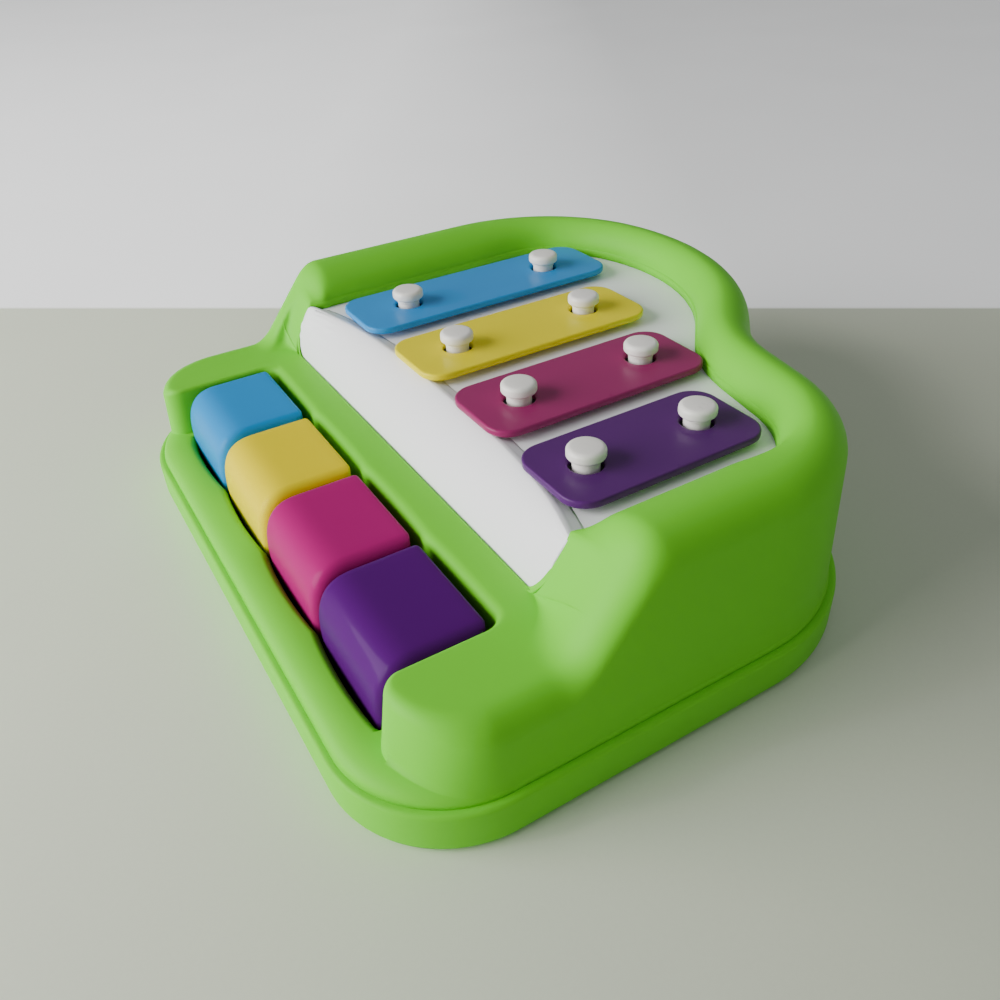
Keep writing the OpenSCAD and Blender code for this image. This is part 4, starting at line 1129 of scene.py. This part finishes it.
KEPT = {"tray": green, "soundboard": white, "hammer": white, "axle": steel, "casing_screws": steel,
        "soundboard_screws": steel, "felt_washers": felt, "rest_felt": felt, "landing_felt": felt}
for name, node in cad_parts.items():
    for start, material in KEPT.items():
        if name == start or name.startswith(start + "_"):
            node.data.materials.clear()
            node.data.materials.append(material)
print("packed nodes:", len(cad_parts))

# %% [markdown]
# ## Floor, light and camera
#
# The light comes from a low place in front of the keys and a little to the left, so the faces
# turned to it are brighter than the tops. One wide lamp stands in for a window, a small one adds
# sharper highlights, and a weak one fills from above. The floor is a pale sheet with painted shade
# that darkens it towards the right, and a lighter part behind the toy that glows a little, as
# painted light.

# %% Floor, light and camera
CAMERA_AT = np.array([214.2, -27.6, 179.7])
CAMERA_ROWS = np.array([
    [0.5181508673986536, 0.8543364969256109, -0.0403587491741092],
    [0.48170600516572076, -0.3304933290738547, -0.8116239794541333],
    [-0.7067382847994763, 0.4011026171175606, -0.5827844261303985],
])
FOCAL_PX, PICTURE_PX, SENSOR_MM = 892.03, 1000, 36.0
FLOOR_HALF = 3.0


def floor_paint():
    """A pale sheet with painted shade darkening it towards the right, and beyond a straight line a
    lighter part that glows a little, as painted light.
    """
    g = Graph("floor_paint")
    place = g.node("ShaderNodeTexCoord", output="Object")
    cloud = g.node("ShaderNodeTexNoise", {"Vector": place, "Scale": 9.0, "Detail": 4.0})
    grain = g.node("ShaderNodeTexNoise", {"Vector": place, "Scale": 700.0, "Detail": 2.0})
    across = g.node("ShaderNodeVectorMath", [place, (0.518, 0.854, 0)], output=1,
                    operation="DOT_PRODUCT")
    away = g.node("ShaderNodeVectorMath", [place, (-0.80353, 0.59526, 0)], output=1,
                  operation="DOT_PRODUCT")
    beyond = g.node("ShaderNodeMapRange", [away, 0.1595, 0.1620, 0.0, 1.0])
    # Painted shade: the floor's colour falls to about two thirds towards the right, in place of light
    # that falls off there.
    painted_shade_fade = g.node("ShaderNodeMapRange", [across, -0.14, 0.12, 1.0, 0.66])
    painted_shade_and_mottle = painted_shade_fade * (0.96 + 0.08 * cloud) * (0.98 + 0.04 * grain)
    near = g.node("ShaderNodeVectorMath", [linear(240, 246, 224), painted_shade_and_mottle], operation="MULTIPLY")
    # The lighter part beyond the line carries the painted shade too, at half strength.
    far = g.node("ShaderNodeVectorMath", [linear(252, 252, 254), 0.5 + 0.5 * painted_shade_and_mottle],
                 operation="MULTIPLY")
    mixed = g.node("ShaderNodeMix", {"Factor": beyond, "A": near, "B": far}, output=1,
                   data_type="VECTOR")
    # Painted light: the lighter part glows, more where the painted shade leaves it light.
    painted_glow = g.node("ShaderNodeCombineXYZ", [beyond * (painted_shade_and_mottle - 0.4)] * 3)
    shader = g.node("ShaderNodeBsdfPrincipled",
                    {"Base Color": mixed, "Roughness": 0.6, "Emission Color": painted_glow})
    shader.socket.node.inputs["Emission Strength"].default_value = 0.9
    g.node("ShaderNodeOutputMaterial", {"Surface": shader})
    return g.material


def make_stage():
    """One square floor in metres, round the toy."""
    half = FLOOR_HALF
    mesh = bpy.data.meshes.new("floor")
    corners = [(-half, -half, 0), (half, -half, 0), (half, half, 0), (-half, half, 0)]
    mesh.from_pydata(corners, [], [(0, 1, 2, 3)])
    floor = bpy.data.objects.new("floor", mesh)
    bpy.context.scene.collection.objects.link(floor)
    floor.data.materials.append(floor_paint())
    floor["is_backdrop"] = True


def area_light(name, at, towards, size, power, colour):
    """A round lamp at a place, turned towards another."""
    data = bpy.data.lights.new(name, "AREA")
    data.shape = "DISK"
    data.size = size
    data.energy = power
    data.color = colour
    light = bpy.data.objects.new(name, data)
    bpy.context.scene.collection.objects.link(light)
    light.location = Vector(at)
    light.rotation_euler = (Vector(towards) - Vector(at)).to_track_quat("-Z", "Y").to_euler()


def make_camera():
    """The camera of the photograph: its place, its three directions and its focal length."""
    data = bpy.data.cameras.new("camera")
    data.sensor_width = SENSOR_MM
    data.lens = FOCAL_PX * SENSOR_MM / PICTURE_PX
    data.clip_start = 0.005
    camera = bpy.data.objects.new("camera", data)
    bpy.context.scene.collection.objects.link(camera)
    world = np.eye(4)
    world[:3, :3] = np.column_stack([CAMERA_ROWS[0], -CAMERA_ROWS[1], -CAMERA_ROWS[2]])
    world[:3, 3] = to_frame(CAMERA_AT)
    camera.matrix_world = Matrix(world.tolist())
    bpy.context.scene.camera = camera


make_stage()
area_light("window", (-0.42, -1.35, 0.46), (0, 0, 0.03), 1.4, 45.0, (1.0, 0.99, 0.97))
area_light("pane", (-0.35, -1.2, 0.85), (0, 0, 0.03), 0.12, 1.6, (1.0, 1.0, 1.0))
area_light("ceiling", (0.2, 0.4, 1.5), (0, 0, 0), 1.6, 1.5, (0.93, 0.97, 1.0))
make_camera()
world = bpy.data.worlds.new("room")
world.use_nodes = True
world.node_tree.nodes["Background"].inputs["Color"].default_value = (0.9, 0.93, 0.92, 1)
world.node_tree.nodes["Background"].inputs["Strength"].default_value = 0.3
bpy.context.scene.world = world
print("lamps:", len(bpy.data.lights))

# %% [markdown]
# ## Springs, and the end
#
# Each spring gets a mesh of its own, and the dressed size is printed.

# %% Sizes and end
for c in COLOURS:
    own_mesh(coils[c])
size_at_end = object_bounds()
low, high = np.array(size_at_end[0]), np.array(size_at_end[1])
print("dressed size in mm:", np.round((high - low) * 1000, 1))
